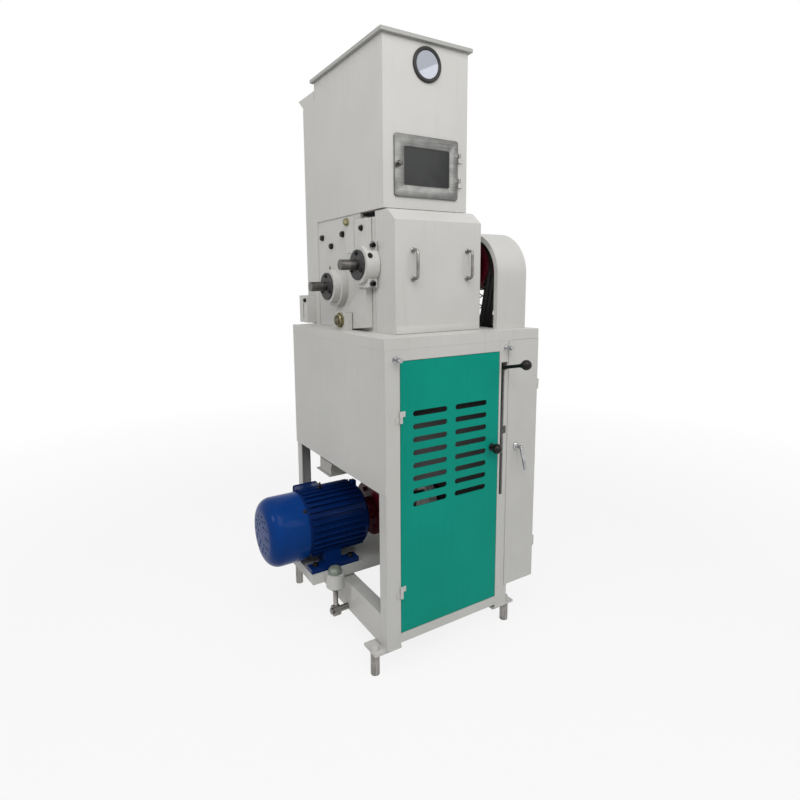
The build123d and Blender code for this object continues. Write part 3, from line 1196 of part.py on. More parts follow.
def cradle():
    """Hinged motor cradle with the tension cup, its hinge bar and the bearing stands."""
    x1, y1 = CRADLE_X + CRADLE_W, CRADLE_Y + CRADLE_D
    low = CRADLE_TOP - CRADLE_T
    plate = block(CRADLE_X, x1, CRADLE_Y, y1, low, CRADLE_TOP)
    fold = CRADLE_TOP - CRADLE_FOLD
    plate += block(CRADLE_X, x1, CRADLE_Y, CRADLE_Y + FOLD_T, fold, CRADLE_TOP)
    plate += block(CRADLE_X, CRADLE_X + FOLD_T, CRADLE_Y, y1, fold, CRADLE_TOP)
    lug_r = HINGE_BAR_R + 9
    for x in (SHEET + RAIL_FLANGE + 12, FRAME_W - SHEET - RAIL_FLANGE - 32):
        lug = block(x, x + 20, HINGE_BAR_Y - lug_r, HINGE_BAR_Y + lug_r, HINGE_BAR_Z, low)
        lug += bar_x(x, x + 20, HINGE_BAR_Y, HINGE_BAR_Z, lug_r)
        plate += lug - block(x, x + 20, 0, FRAME_D, low, low + lug_r)
        plate -= bar_x(x, x + 20, HINGE_BAR_Y, HINGE_BAR_Z, HINGE_BAR_R + RUN)
    bottom = CRADLE_TOP - CUP_H
    cup = bar_z(CUP_X, CUP_Y, bottom, CRADLE_TOP, CUP_R)
    plate += cup
    plate -= bar_z(CUP_X, CUP_Y, bottom + CUP_WALL, CRADLE_TOP, CUP_R - CUP_WALL)
    plate -= bar_z(CUP_X, CUP_Y, bottom, CRADLE_TOP, ROD_R + ROD_FIT)
    for x, y in foot_holes():
        plate -= bar_z(x, y, low, CRADLE_TOP, BOLT_R - 2 + BOLT_FIT)
    keep("motor_cradle", plate)
    stands = []
    for x in STAND_X:
        outline = ((MOTOR_Y - STAND_W / 2, CRADLE_TOP), (MOTOR_Y + STAND_W / 2, CRADLE_TOP),
                   (MOTOR_Y + 2 * DRIVE_SHAFT_R, MOTOR_Z), (MOTOR_Y - 2 * DRIVE_SHAFT_R, MOTOR_Z))
        stand = plate_x(outline, x, x + STAND_T)
        stand += bar_x(x, x + STAND_T, MOTOR_Y, MOTOR_Z, 2 * DRIVE_SHAFT_R)
        stands.append(stand - bar_x(x, x + STAND_T, MOTOR_Y, MOTOR_Z, DRIVE_SHAFT_R + RUN))
    keep("bearing_stands", *stands)
    bar_end = SHEET + HINGE_BAR_IN
    pieces = [bar_x(bar_end, FRAME_W - bar_end, HINGE_BAR_Y, HINGE_BAR_Z, HINGE_BAR_R)]
    rail_top = RAIL_Z + RAIL_H
    base_top = HINGE_BAR_Z + HINGE_BAR_R + HINGE_BASE_WALL
    half = HINGE_BASE_W / 2
    for x in (SHEET + HINGE_BASE_IN, FRAME_W - SHEET - HINGE_BASE_IN - HINGE_BASE_T):
        base = block(x, x + HINGE_BASE_T, HINGE_BAR_Y - half, HINGE_BAR_Y + half, rail_top, base_top)
        pieces.append(base - pieces[0])
    keep("cradle_hinge_bar", *pieces)


def tension_adjuster():
    """Rod anchored on the left rail, and the rubber buffer and nut that hold the cradle on it."""
    pin = bar_x(CUP_X - 20, SHEET, CUP_Y, ANCHOR_Z, ANCHOR_R)
    eye = bar_x(CUP_X - 12, CUP_X + 12, CUP_Y, ANCHOR_Z, ANCHOR_R + 9)
    rod_top = CRADLE_TOP - 8
    rod = eye + bar_z(CUP_X, CUP_Y, ANCHOR_Z, rod_top, ROD_R)
    keep("tension_rod", rod - pin, pin)
    floor = CRADLE_TOP - CUP_H
    seat = floor + CUP_WALL
    buffer_r = CUP_R - CUP_WALL - 0.3
    buffer = bar_z(CUP_X, CUP_Y, seat, CRADLE_TOP + 22, buffer_r)
    buffer = fillet(buffer.edges().group_by(Axis.Z)[-1], 14)
    buffer -= bar_z(CUP_X, CUP_Y, seat, CRADLE_TOP + 14, ROD_R + ROD_FIT)
    nut = hex_z(CUP_X, CUP_Y, floor - NUT_H, floor, NUT_AF + 8)
    nut -= bar_z(CUP_X, CUP_Y, floor - NUT_H, floor, ROD_R + ROD_FIT)
    keep("tension_stack", buffer, nut)


def drive_line():
    """Motor shaft with rotor and fan, flanged coupling, drive shaft and drive pulley."""
    fan_x = COWL_END + FAN_IN
    motor = bar_x(fan_x - SHAFT_TAIL, MOTOR_SHAFT_END, MOTOR_Y, MOTOR_Z, MOTOR_SHAFT_R)
    motor += bar_x(FRAME_X + ROTOR_IN, FRAME_X + FRAME_L - ROTOR_IN, MOTOR_Y, MOTOR_Z, ROTOR_R)
    start = DRIVE_SHAFT_X
    shaft = bar_x(start, SHAFT_END, MOTOR_Y, MOTOR_Z, DRIVE_SHAFT_R)
    keep("drive_shafts", motor, shaft)
    hub = bar_x(fan_x, fan_x + FAN_HUB_L, MOTOR_Y, MOTOR_Z, 2 * MOTOR_SHAFT_R)
    edge = fan_x + (FAN_HUB_L - FAN_BLADE_L) / 2
    blade = block(edge, edge + FAN_BLADE_L, MOTOR_Y - 2, MOTOR_Y + 2, MOTOR_Z + 30, MOTOR_Z + FAN_R)
    axis = Axis((LEFT, FRONT + MOTOR_Y, MOTOR_Z), (1, 0, 0))
    for index in range(8):
        hub += blade.rotate(axis, 45.0 * index)
    keep("cooling_fan", hub - bar_x(COWL_END, COWL_END + COWL_L, MOTOR_Y, MOTOR_Z, MOTOR_SHAFT_R))
    halves = []
    near = MOTOR_SHAFT_END - COUPLING_FLANGE
    far = start + COUPLING_FLANGE
    for hub_a, flange_a, bore in ((near - COUPLING_HUB, near, MOTOR_SHAFT_R), (start, start, DRIVE_SHAFT_R)):
        hub_b = hub_a + COUPLING_FLANGE + COUPLING_HUB
        half = bar_x(hub_a, hub_b, MOTOR_Y, MOTOR_Z, COUPLING_HUB_R)
        half += bar_x(flange_a, flange_a + COUPLING_FLANGE, MOTOR_Y, MOTOR_Z, COUPLING_R)
        halves.append(half - bar_x(hub_a, hub_b, MOTOR_Y, MOTOR_Z, bore))
    pins = []
    for index in range(6):
        angle = radians(60 * index)
        reach = (COUPLING_R + COUPLING_HUB_R) / 2
        y, z = MOTOR_Y + reach * cos(angle), MOTOR_Z + reach * sin(angle)
        pins.append(bar_x(near - 8, far + 8, y, z, 9.0))
        halves = [half - pins[-1] for half in halves]
    keep("coupling", *halves, *pins)
    keep("drive_pulley", pulley(MOTOR_Y, MOTOR_Z, DRIVE_PULLEY_R, DRIVE_SHAFT_R))
    keep("idler_pulley", pulley(IDLER_Y, IDLER_Z, IDLER_R, IDLER_AXLE_R + RUN))


def small_bolts(foot_bolts):
    """Foot bolts, chute bolts on the left side plate and the two screws under the cap."""
    bolts = list(foot_bolts)
    for y, z in CHUTE_BOLTS:
        bolt = hex_x(BOX_X - 10, BOX_X, y, z, 3.6 * CHUTE_BOLT_R)
        bolts.append(bolt + bar_x(BOX_X, BOX_X + BOX_PLATE, y, z, CHUTE_BOLT_R))
    for x, z in SCREWS:
        screw = bar_y(x, -SCREW_L, -SCREW_NECK, z, 2 * SCREW_R - RUN)
        screw = fillet(screw.edges().group_by(Axis.Y)[0], 1.5)
        screw += bar_y(x, -SCREW_NECK, 14, z, SCREW_R)
        bolts.append(screw + bar_y(x, -SCREW_NECK / 3, 0, z, 2 * SCREW_R))
    keep("frame_bolts", *bolts)


def main():
    """Make every piece and write one STEP file for each node."""
    foot_bolts = feet_and_plates()
    frame()
    top_cap()
    belt_case()
    pins = front_door() + case_panel() + hopper()
    keep("hinge_pins", *pins)
    lever()
    pull_rod()
    roll_box()
    swing_arms()
    rear_bearings()
    roll("front", FRONT_Y, FRONT_Z, FRONT_PULLEY_R)
    roll("rear", REAR_Y, REAR_Z, REAR_PULLEY_R)
    drive_belts()
    belt_guard()
    front_cover()
    feed_parts()
    rear_duct()
    collecting_hopper()
    motor_frame()
    motor_fittings()
    cradle()
    tension_adjuster()
    drive_line()
    small_bolts(foot_bolts)
    os.makedirs("parts", exist_ok=True)
    for name, solids in nodes.items():
        shape = solids[0] if len(solids) == 1 else Compound(solids)
        export_step(shape, os.path.join("parts", name + ".step"))
    print(len(nodes), "nodes, eccentric", round(ECC, 3), "at", round(ECC_Y, 3), round(ECC_Z, 3))


main()
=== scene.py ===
"""Looks of the rubber-roll rice huller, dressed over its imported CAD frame.

Places in the functions are measured as in the CAD source: millimetres from the main frame's
front left corner on the floor, x to the right, y to the back, z up.  at() turns them into
the frame's metres.
"""
import math
import bmesh
import bpy
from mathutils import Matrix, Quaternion, Vector


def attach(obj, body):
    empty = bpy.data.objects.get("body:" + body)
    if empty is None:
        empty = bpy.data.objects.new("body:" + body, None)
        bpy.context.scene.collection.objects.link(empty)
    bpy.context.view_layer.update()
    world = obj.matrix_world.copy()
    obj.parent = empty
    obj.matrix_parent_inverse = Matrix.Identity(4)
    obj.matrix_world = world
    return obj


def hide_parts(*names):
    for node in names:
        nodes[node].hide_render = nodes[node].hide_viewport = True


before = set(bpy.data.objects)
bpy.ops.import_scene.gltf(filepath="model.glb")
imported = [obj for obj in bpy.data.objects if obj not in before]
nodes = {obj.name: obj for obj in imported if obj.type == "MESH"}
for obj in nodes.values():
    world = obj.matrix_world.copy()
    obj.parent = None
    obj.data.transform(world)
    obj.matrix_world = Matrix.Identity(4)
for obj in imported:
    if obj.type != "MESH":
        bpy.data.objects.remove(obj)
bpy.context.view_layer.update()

# Middle of the feet, from the main frame's front left corner
HALF_W = 259.5
HALF_D = 357.5

# Axes that run along x and that several pieces share, as (y, z)
FRONT_ROLL = (247.0, 1326.0)
REAR_ROLL = (493.0, 1254.0)
ARM_PIVOT = (380.0, 1135.0)
MOTOR_AXIS = (435.0, 376.0)
# Directions that a piece's own z is turned to
UP = (0, 0, 1)
ALONG_X = (1, 0, 0)
FACING_LEFT = (-1, 0, 0)
FACING_FRONT = (0, -1, 0)
FACING_BACK = (0, 1, 0)
# Faces: foot plates' top, roll box's left side, cover's and hopper's front, motor's shield and cowl's foot
PLATE_TOP = 86
BOX_LEFT = 104
COVER_FRONT = 98
HOPPER_FRONT = 160
SHIELD_FACE = 129
COWL_FOOT = -117
# Middles of what sits on the front, as (x, z), and two places as (x, y, z)
DOOR_KNOB = (432, 700)
LATCH = (543, 687)
HATCH = (268, 1640.5)
HATCH_KNOB = (153, 1643.5)
SIGHT_GLASS = (269, HOPPER_FRONT, 1961)
EYE_FOOT = (-25, 435, 502.5)
# Where a coat ends, in the frame's metres: spout's top and case's inner side, where painted shade begins,
# door's front, hopper's rim
SPOUT_TOP = 0.575
CASE_INNER = 0.2580
DOOR_FRONT = -0.3580
RIM_LOW = 2.0279
# Faces that meet at less than this are shaded as one
SMOOTH = math.radians(40)

# The photograph's camera, fitted to its straight edges: metres, radians, then pixels
CAMERA_PLACE = (-1.085135, -1.734383, 1.273986)
YAW, PITCH, ROLL = 0.536, -0.144, -0.010
PHOTO_SIDE = 800
FOCAL = 545.725
LENS_MIDDLE = (381.347, 359.540)
SENSOR_MM = 36.0


def at(x, y, z):
    """A place in the CAD source's millimetres, as a point of the frame in metres."""
    return Vector((x - HALF_W, y - HALF_D, z)) / 1000


# Materials

def linear(code):
    """Linear colour of an sRGB hex value."""
    parts = [int(code[i:i + 2], 16) / 255 for i in (1, 3, 5)]
    return [c / 12.92 if c <= 0.04045 else ((c + 0.055) / 1.055) ** 2.4 for c in parts] + [1]


def add(tree, kind, inputs=None, **settings):
    """Add a node with its settings, and set or link its inputs."""
    made = tree.nodes.new("ShaderNode" + kind)
    for key, value in settings.items():
        setattr(made, key, value)
    for key, value in (inputs or {}).items():
        if isinstance(value, bpy.types.NodeSocket):
            tree.links.new(value, made.inputs[key])
        else:
            made.inputs[key].default_value = value
    return made


def blank(name):
    """A new material's tree, its shader and its Object coordinates."""
    made = bpy.data.materials.new(name)
    made.use_nodes = True
    tree = made.node_tree
    shader = tree.nodes["Principled BSDF"]
    place = add(tree, "TexCoord").outputs["Object"]
    return made, tree, shader, place


def per_metre(size_mm):
    """Texture scale whose features are about this size in millimetres."""
    return 1000.0 / size_mm


def seen_as_itself(tree):
    """1 for the rays that show a thing to the eye, straight, mirrored or through glass, and 0 for light."""
    path = add(tree, "LightPath")
    seen = add(tree, "Math", {0: path.outputs["Is Camera Ray"], 1: path.outputs["Is Glossy Ray"]},
               operation="MAXIMUM")
    clear = add(tree, "Math", {0: seen.outputs["Value"], 1: path.outputs["Is Transmission Ray"]},
                operation="MAXIMUM")
    return clear.outputs["Value"]


def sprayed_enamel(name, colour, shade, bare, gloss, shine, peel=0.05, other=None):
    """Sprayed machine enamel: faint orange peel, uneven cover, grime and rubbed edges.

    other is (axis, side, plane, colour): on that side of the plane the sheet takes another colour, a second
    coat of paint, and on the belt case's inner side painted shade.
    """
    made, tree, shader, place = blank(name)
    # Uneven cover, in patches about 260 mm across, so that a large sheet isn't one flat tone
    cloud = add(tree, "TexNoise", {"Vector": place, "Scale": per_metre(260), "Detail": 4.0})
    tone = add(tree, "ValToRGB", {"Fac": cloud.outputs["Fac"]})
    tone.color_ramp.elements[0].position = 0.3
    tone.color_ramp.elements[1].position = 0.7
    tone.color_ramp.elements[0].color = linear(shade)
    tone.color_ramp.elements[1].color = linear(colour)
    # Dust that ran down the sheet, in streaks about 14 mm wide
    drawn = add(tree, "Mapping", {"Vector": place, "Scale": (1.0, 1.0, 0.06)})
    streak = add(tree, "TexNoise", {"Vector": drawn.outputs["Vector"], "Scale": per_metre(14),
                                    "Detail": 5.0})
    run = add(tree, "MapRange", {"Value": streak.outputs["Fac"], "From Min": 0.56, "From Max": 0.8,
                                 "To Max": 0.16})
    dusty = add(tree, "Mix", {"Factor": run.outputs["Result"], "A": tone.outputs["Color"],
                              "B": linear(bare)}, data_type="RGBA")
    # Edges, found where the rounded normal leaves the flat one, rubbed in spots of about 9 mm
    flat = add(tree, "NewGeometry")
    soft = add(tree, "Bevel", {"Radius": 0.0016}, samples=4)
    turn = add(tree, "VectorMath", {0: soft.outputs["Normal"], 1: flat.outputs["Normal"]},
               operation="DOT_PRODUCT")
    grit = add(tree, "TexNoise", {"Vector": place, "Scale": per_metre(9), "Detail": 3.0})
    edge = add(tree, "MapRange", {"Value": turn.outputs["Value"], "From Min": 0.985, "From Max": 0.86})
    worn = add(tree, "Math", {0: edge.outputs["Result"], 1: grit.outputs["Fac"]}, operation="MULTIPLY")
    coat = add(tree, "Mix", {"Factor": worn.outputs["Value"], "A": dusty.outputs["Result"],
                             "B": linear(bare)}, data_type="RGBA")
    if other:
        axis, side, plane, second = other
        apart = add(tree, "SeparateXYZ", {"Vector": place})
        beyond = add(tree, "Math", {0: apart.outputs[axis], 1: plane}, operation=side)
        coat = add(tree, "Mix", {"Factor": beyond.outputs["Value"], "A": coat.outputs["Result"],
                                 "B": linear(second)}, data_type="RGBA")
    tree.links.new(coat.outputs["Result"], shader.inputs["Base Color"])
    haze = add(tree, "MapRange", {"Value": cloud.outputs["Fac"], "To Min": gloss - 0.06,
                                  "To Max": gloss + 0.1})
    tree.links.new(haze.outputs["Result"], shader.inputs["Roughness"])
    # Orange peel of about 4 mm breaks up the reflections
    skin = add(tree, "TexNoise", {"Vector": place, "Scale": per_metre(4), "Detail": 1.0})
    bump = add(tree, "Bump", {"Height": skin.outputs["Fac"], "Normal": soft.outputs["Normal"],
                              "Strength": peel, "Distance": 0.001})
    tree.links.new(bump.outputs["Normal"], shader.inputs["Normal"])
    shader.inputs["Specular IOR Level"].default_value = shine
    return made


def machined_steel(name, colour, dark, gloss, pitch_mm, axis_scale):
    """Turned or drawn steel: fine tool lines across the given axis, oil stains."""
    made, tree, shader, place = blank(name)
    lines = add(tree, "Mapping", {"Vector": place, "Scale": axis_scale})
    tool = add(tree, "TexNoise", {"Vector": lines.outputs["Vector"], "Scale": per_metre(pitch_mm),
                                  "Detail": 2.0})
    # Oil and fingers leave stains of about 35 mm
    stain = add(tree, "TexNoise", {"Vector": place, "Scale": per_metre(35), "Detail": 4.0})
    both = add(tree, "Math", {0: tool.outputs["Fac"], 1: stain.outputs["Fac"]}, operation="MULTIPLY")
    tone = add(tree, "ValToRGB", {"Fac": both.outputs["Value"]})
    tone.color_ramp.elements[0].position = 0.14
    tone.color_ramp.elements[1].position = 0.36
    tone.color_ramp.elements[0].color = linear(dark)
    tone.color_ramp.elements[1].color = linear(colour)
    tree.links.new(tone.outputs["Color"], shader.inputs["Base Color"])
    haze = add(tree, "MapRange", {"Value": tool.outputs["Fac"], "To Min": gloss - 0.08,
                                  "To Max": gloss + 0.14})
    tree.links.new(haze.outputs["Result"], shader.inputs["Roughness"])
    soft = add(tree, "Bevel", {"Radius": 0.0008}, samples=4)
    bump = add(tree, "Bump", {"Height": tool.outputs["Fac"], "Normal": soft.outputs["Normal"],
                              "Strength": 0.12, "Distance": 0.0004})
    tree.links.new(bump.outputs["Normal"], shader.inputs["Normal"])
    shader.inputs["Metallic"].default_value = 1.0
    return made


def galvanised_sheet():
    """Hot-dip zinc on sheet: dull grey crystals about 12 mm across."""
    made, tree, shader, place = blank("galvanised_sheet")
    crystal = add(tree, "TexVoronoi", {"Vector": place, "Scale": per_metre(12)})
    tone = add(tree, "ValToRGB", {"Fac": crystal.outputs["Color"]})
    tone.color_ramp.elements[0].color = linear("#7F8283")
    tone.color_ramp.elements[1].color = linear("#A9ABAA")
    tree.links.new(tone.outputs["Color"], shader.inputs["Base Color"])
    haze = add(tree, "MapRange", {"Value": crystal.outputs["Distance"], "To Min": 0.42, "To Max": 0.6})
    tree.links.new(haze.outputs["Result"], shader.inputs["Roughness"])
    soft = add(tree, "Bevel", {"Radius": 0.001}, samples=4)
    tree.links.new(soft.outputs["Normal"], shader.inputs["Normal"])
    shader.inputs["Metallic"].default_value = 0.85
    return made


def funnel_painted_shade():
    """Grain funnel: bare sheet coloured dark grey inside the base as painted shade, its spout sprayed white.
    """
    made, tree, shader, place = blank("funnel_painted_shade")
    # Painted shade inside the base: dark grey that varies in patches about 60 mm wide
    patch_noise = add(tree, "TexNoise", {"Vector": place, "Scale": per_metre(60), "Detail": 5.0})
    tone = add(tree, "ValToRGB", {"Fac": patch_noise.outputs["Fac"]})
    tone.color_ramp.elements[0].position = 0.35
    tone.color_ramp.elements[1].position = 0.7
    tone.color_ramp.elements[0].color = linear("#262929")
    tone.color_ramp.elements[1].color = linear("#3C4040")
    # The white paint ends and the painted shade begins in a 2 mm step near the spout's top
    apart = add(tree, "SeparateXYZ", {"Vector": place})
    inner = add(tree, "MapRange", {"Value": apart.outputs["Z"], "From Min": SPOUT_TOP - 0.002,
                                   "From Max": SPOUT_TOP})
    both = add(tree, "Mix", {"Factor": inner.outputs["Result"], "A": linear("#C4C2BD"),
                             "B": tone.outputs["Color"]}, data_type="RGBA")
    tree.links.new(both.outputs["Result"], shader.inputs["Base Color"])
    haze = add(tree, "MapRange", {"Value": patch_noise.outputs["Fac"], "To Min": 0.42, "To Max": 0.62})
    tree.links.new(haze.outputs["Result"], shader.inputs["Roughness"])
    soft = add(tree, "Bevel", {"Radius": 0.001}, samples=4)
    tree.links.new(soft.outputs["Normal"], shader.inputs["Normal"])
    shader.inputs["Specular IOR Level"].default_value = 0.3
    return made


def vulcanised_rubber(name, colour, chalk, gloss):
    """Moulded rubber: matt, with pits of 1.6 mm and a chalky bloom in patches of 30 mm."""
    made, tree, shader, place = blank(name)
    bloom = add(tree, "TexNoise", {"Vector": place, "Scale": per_metre(30), "Detail": 5.0})
    tone = add(tree, "ValToRGB", {"Fac": bloom.outputs["Fac"]})
    tone.color_ramp.elements[0].position = 0.4
    tone.color_ramp.elements[1].position = 0.8
    tone.color_ramp.elements[0].color = linear(colour)
    tone.color_ramp.elements[1].color = linear(chalk)
    tree.links.new(tone.outputs["Color"], shader.inputs["Base Color"])
    shader.inputs["Roughness"].default_value = gloss
    pits = add(tree, "TexNoise", {"Vector": place, "Scale": per_metre(1.6), "Detail": 2.0})
    bump = add(tree, "Bump", {"Height": pits.outputs["Fac"], "Strength": 0.15, "Distance": 0.0005})
    tree.links.new(bump.outputs["Normal"], shader.inputs["Normal"])
    shader.inputs["IOR"].default_value = 1.52
    return made


def bakelite():
    """Moulded phenolic: deep black, polished, with hand grease and faint swirls of about 18 mm."""
    made, tree, shader, place = blank("black_bakelite")
    swirl = add(tree, "TexNoise", {"Vector": place, "Scale": per_metre(18), "Detail": 3.0, "Distortion": 1.2})
    tone = add(tree, "ValToRGB", {"Fac": swirl.outputs["Fac"]})
    tone.color_ramp.elements[0].color = linear("#0F0E0E")
    tone.color_ramp.elements[1].color = linear("#1C1918")
    tree.links.new(tone.outputs["Color"], shader.inputs["Base Color"])
    haze = add(tree, "MapRange", {"Value": swirl.outputs["Fac"], "To Min": 0.14, "To Max": 0.36})
    tree.links.new(haze.outputs["Result"], shader.inputs["Roughness"])
    shader.inputs["Specular IOR Level"].default_value = 0.2
    return made


def pane(name, colour, transmission, gloss, shine, heap=None):
    """Flat glass with flour dust in patches of 40 mm; pale grain may show behind it, below a slope."""
    made, tree, shader, place = blank(name)
    film = add(tree, "TexNoise", {"Vector": place, "Scale": per_metre(40), "Detail": 6.0})
    haze = add(tree, "MapRange", {"Value": film.outputs["Fac"], "To Min": gloss, "To Max": gloss + 0.18})
    tree.links.new(haze.outputs["Result"], shader.inputs["Roughness"])
    shader.inputs["Base Color"].default_value = linear(colour)
    if heap:
        # The grain lies at a slope of one in two, 10 mm below the middle
        middle = at(*SIGHT_GLASS)
        away = add(tree, "VectorMath", {0: place, 1: (middle.x, 0, middle.z - 0.010)}, operation="SUBTRACT")
        above = add(tree, "VectorMath", {0: away.outputs["Vector"], 1: (-0.5, 0, 1)}, operation="DOT_PRODUCT")
        level = add(tree, "MapRange", {"Value": above.outputs["Value"], "From Min": -0.002,
                                       "From Max": 0.003})
        seen = add(tree, "Mix", {"Factor": level.outputs["Result"], "A": linear(heap), "B": linear(colour)},
                   data_type="RGBA")
        tree.links.new(seen.outputs["Result"], shader.inputs["Base Color"])
    shader.inputs["Transmission Weight"].default_value = transmission
    shader.inputs["Specular IOR Level"].default_value = shine
    shader.inputs["IOR"].default_value = 1.5
    return made


# White enamel as (colour, shade, bare, gloss, shine)
WHITE_COAT = ("#C8C7C4", "#C1C0BC", "#A09C94", 0.38, 0.3)
WHITE = sprayed_enamel("white_enamel", *WHITE_COAT)
# The belt case's inner side is coloured dark grey as painted shade
CASE_WHITE = sprayed_enamel("white_enamel_painted_shade_inside", *WHITE_COAT,
                            other=("X", "LESS_THAN", CASE_INNER, "#2B2E2E"))
RIMMED_WHITE = sprayed_enamel("white_enamel_grey_rim", *WHITE_COAT,
                              other=("Z", "GREATER_THAN", RIM_LOW, "#A6A6A3"))
GREEN = sprayed_enamel("green_enamel_white_hinges", "#109482", "#0D8C7A", "#0B6A5C", 0.38, shine=0.06,
                       other=("Y", "LESS_THAN", DOOR_FRONT, WHITE_COAT[0]))
BLUE = sprayed_enamel("blue_enamel", "#0A2B66", "#082252", "#081B3E", 0.18, peel=0.1, shine=0.07)
COWL_BLUE = sprayed_enamel("gloss_blue_enamel", "#0A3A80", "#09336F", "#081B3E", 0.12, peel=0.03, shine=0.05)
MAROON = sprayed_enamel("maroon_enamel", "#701528", "#5E1021", "#3A0A14", 0.3, shine=0.3)
STAINLESS = machined_steel("brushed_stainless", "#7E7E7C", "#666664", 0.34, 3.0, (0.02, 1.0, 1.0))
TURNED = machined_steel("turned_steel", "#73706E", "#4C4A48", 0.36, 2.5, (1.0, 0.02, 0.02))
DRAWN = machined_steel("drawn_steel", "#9A9794", "#6B6865", 0.34, 3.0, (1.0, 1.0, 0.03))
CHROME = machined_steel("chromed_steel", "#B8B8BA", "#9A9A9C", 0.14, 40.0, (1.0, 1.0, 1.0))
BLACKED = machined_steel("blackened_steel", "#3A3836", "#1E1D1C", 0.4, 6.0, (1.0, 1.0, 1.0))
ZINC = machined_steel("yellow_zinc", "#9C9574", "#6E694F", 0.38, 8.0, (1.0, 1.0, 1.0))
CASTING = sprayed_enamel("dark_grey_casting", "#3C3B3B", "#333232", "#252424", 0.45, peel=0.3, shine=0.3)
GALVANISED = galvanised_sheet()
# The funnel's dark grey inside the base is painted shade
FUNNEL = funnel_painted_shade()
BELTING = vulcanised_rubber("black_belting", "#171717", "#2B2A29", 0.7)
ROLL_RUBBER = vulcanised_rubber("pale_roll_rubber", "#C9C2AE", "#D8D2C2", 0.75)
BUFFER = vulcanised_rubber("grey_green_buffer", "#6C756B", "#8B948A", 0.35)
BAKELITE = bakelite()
CLEAR = pane("sight_glass_pane", "#9EA3AE", 0.12, 0.06, shine=0.3, heap="#C9CDD9")
SMOKED = pane("smoked_pane", "#1A1B1C", 0.0, 0.05, shine=0.2)

FINISH = {
    "frame_posts frame_rails foot_plates top_cap side_panels roll_box_plates": WHITE,
    "belt_case": CASE_WHITE,
    "pivot_blocks rear_housings rear_duct belt_guard guard_mesh case_panel": WHITE,
    "hopper_shell": RIMMED_WHITE,
    "front_cover swing_arms bearing_caps motor_cradle bearing_stands hinge_pins": WHITE,
    "front_door": GREEN,
    "motor_frame": BLUE,
    "fan_cowl": COWL_BLUE,
    "front_roll_pulley rear_roll_pulley idler_pulley drive_pulley coupling": MAROON,
    "inspection_door inspection_knob cover_handles": STAINLESS,
    "front_roll_core rear_roll_core drive_shafts lever_shaft arm_pivot_shaft": TURNED,
    "cradle_hinge_bar": TURNED,
    "feet tension_rod pull_rod": DRAWN,
    "panel_latch": CHROME,
    "rear_bearings front_bearings": CASTING,
    "feed_plates": GALVANISED,
    "collecting_hopper": FUNNEL,
    "frame_bolts motor_fasteners hand_lever": BLACKED,
    "arm_fasteners feed_gate": ZINC,
    "drive_belts sight_glass_ring": BELTING,
    "front_roll_rubber rear_roll_rubber": ROLL_RUBBER,
    "tension_stack": BUFFER,
    "door_knob lever_ball cooling_fan": BAKELITE,
    "sight_glass": CLEAR,
    "inspection_window": SMOKED,
}
for names, finish in FINISH.items():
    for name in names.split():
        nodes[name].data.materials.clear()
        nodes[name].data.materials.append(finish)


# Camera, light and floor

def photo_camera():
    """Camera at the photograph's place, with its lens and framing."""
    bpy.ops.object.camera_add(location=CAMERA_PLACE)
    camera = bpy.context.object
    ahead = Vector((math.sin(YAW) * math.cos(PITCH), math.cos(YAW) * math.cos(PITCH), math.sin(PITCH)))
    turn = ahead.to_track_quat("-Z", "Y") @ Quaternion((0, 0, 1), ROLL)
    camera.rotation_euler = turn.to_euler()
    camera.data.sensor_width = SENSOR_MM
    camera.data.lens = SENSOR_MM * FOCAL / PHOTO_SIDE
    camera.data.shift_x = (PHOTO_SIDE / 2 - LENS_MIDDLE[0]) / PHOTO_SIDE
    camera.data.shift_y = -(PHOTO_SIDE / 2 - LENS_MIDDLE[1]) / PHOTO_SIDE
    camera.data.clip_end = 100
    bpy.context.scene.camera = camera


def lamp(place, aim, size, power):
    """Square soft box that points at a place."""
    bpy.ops.object.light_add(type="AREA", location=place)
    made = bpy.context.object
    made.data.size = size
    made.data.energy = power
    made.rotation_euler = (Vector(aim) - Vector(place)).to_track_quat("-Z", "Y").to_euler()


def studio():
    """Pale floor and white world, with soft boxes at the front left, the front right and the left."""
    bpy.ops.mesh.primitive_grid_add(size=30, x_subdivisions=4, y_subdivisions=4, location=(0, 0, 0))
    floor = bpy.context.object
    floor.name = "floor"
    made, tree, shader, place = blank("pale_floor")
    shader.inputs["Base Color"].default_value = linear("#D6D6D4")
    shader.inputs["Roughness"].default_value = 0.9
    glow = add(tree, "Emission", {"Color": (1, 1, 1, 1), "Strength": 1.0})
    # The floor fades into the white background 1.5 to 4 m from the machine
    far = add(tree, "VectorMath", {0: place}, operation="LENGTH")
    fade = add(tree, "MapRange", {"Value": far.outputs["Value"], "From Min": 1.5, "From Max": 4.0,
                                  "To Min": 0.85})
    share = add(tree, "Math", {0: seen_as_itself(tree), 1: fade.outputs["Result"]}, operation="MULTIPLY")
    mixed = add(tree, "MixShader", {0: share.outputs["Value"], 1: shader.outputs["BSDF"],
                                    2: glow.outputs["Emission"]})
    tree.links.new(mixed.outputs["Shader"], tree.nodes["Material Output"].inputs["Surface"])
    floor.data.materials.append(made)
    world = bpy.data.worlds.new("studio")
    bpy.context.scene.world = world
    world.use_nodes = True
    tree = world.node_tree
    # White to the eye, and a weaker light all round
    level = add(tree, "MapRange", {"Value": seen_as_itself(tree), "To Min": 0.38, "To Max": 1.0})
    back = tree.nodes["Background"]
    back.inputs["Color"].default_value = (1, 1, 1, 1)
    tree.links.new(level.outputs["Result"], back.inputs["Strength"])
    # Main light on the fronts and tops, a fill from the right, and a smaller box for the left side
    lamp((-0.9, -2.2, 3.6), (0, 0, 1.4), 2.4, 70)
    lamp((1.5, -3.4, 3.0), (0, 0, 1.6), 1.8, 26)
    lamp((-3.4, -0.2, 2.8), (0, 0, 1.7), 1.0, 33)


# Modelling by hand

def alone():
    """Leave nothing selected before a new piece is started."""
    bpy.ops.object.select_all(action="DESELECT")


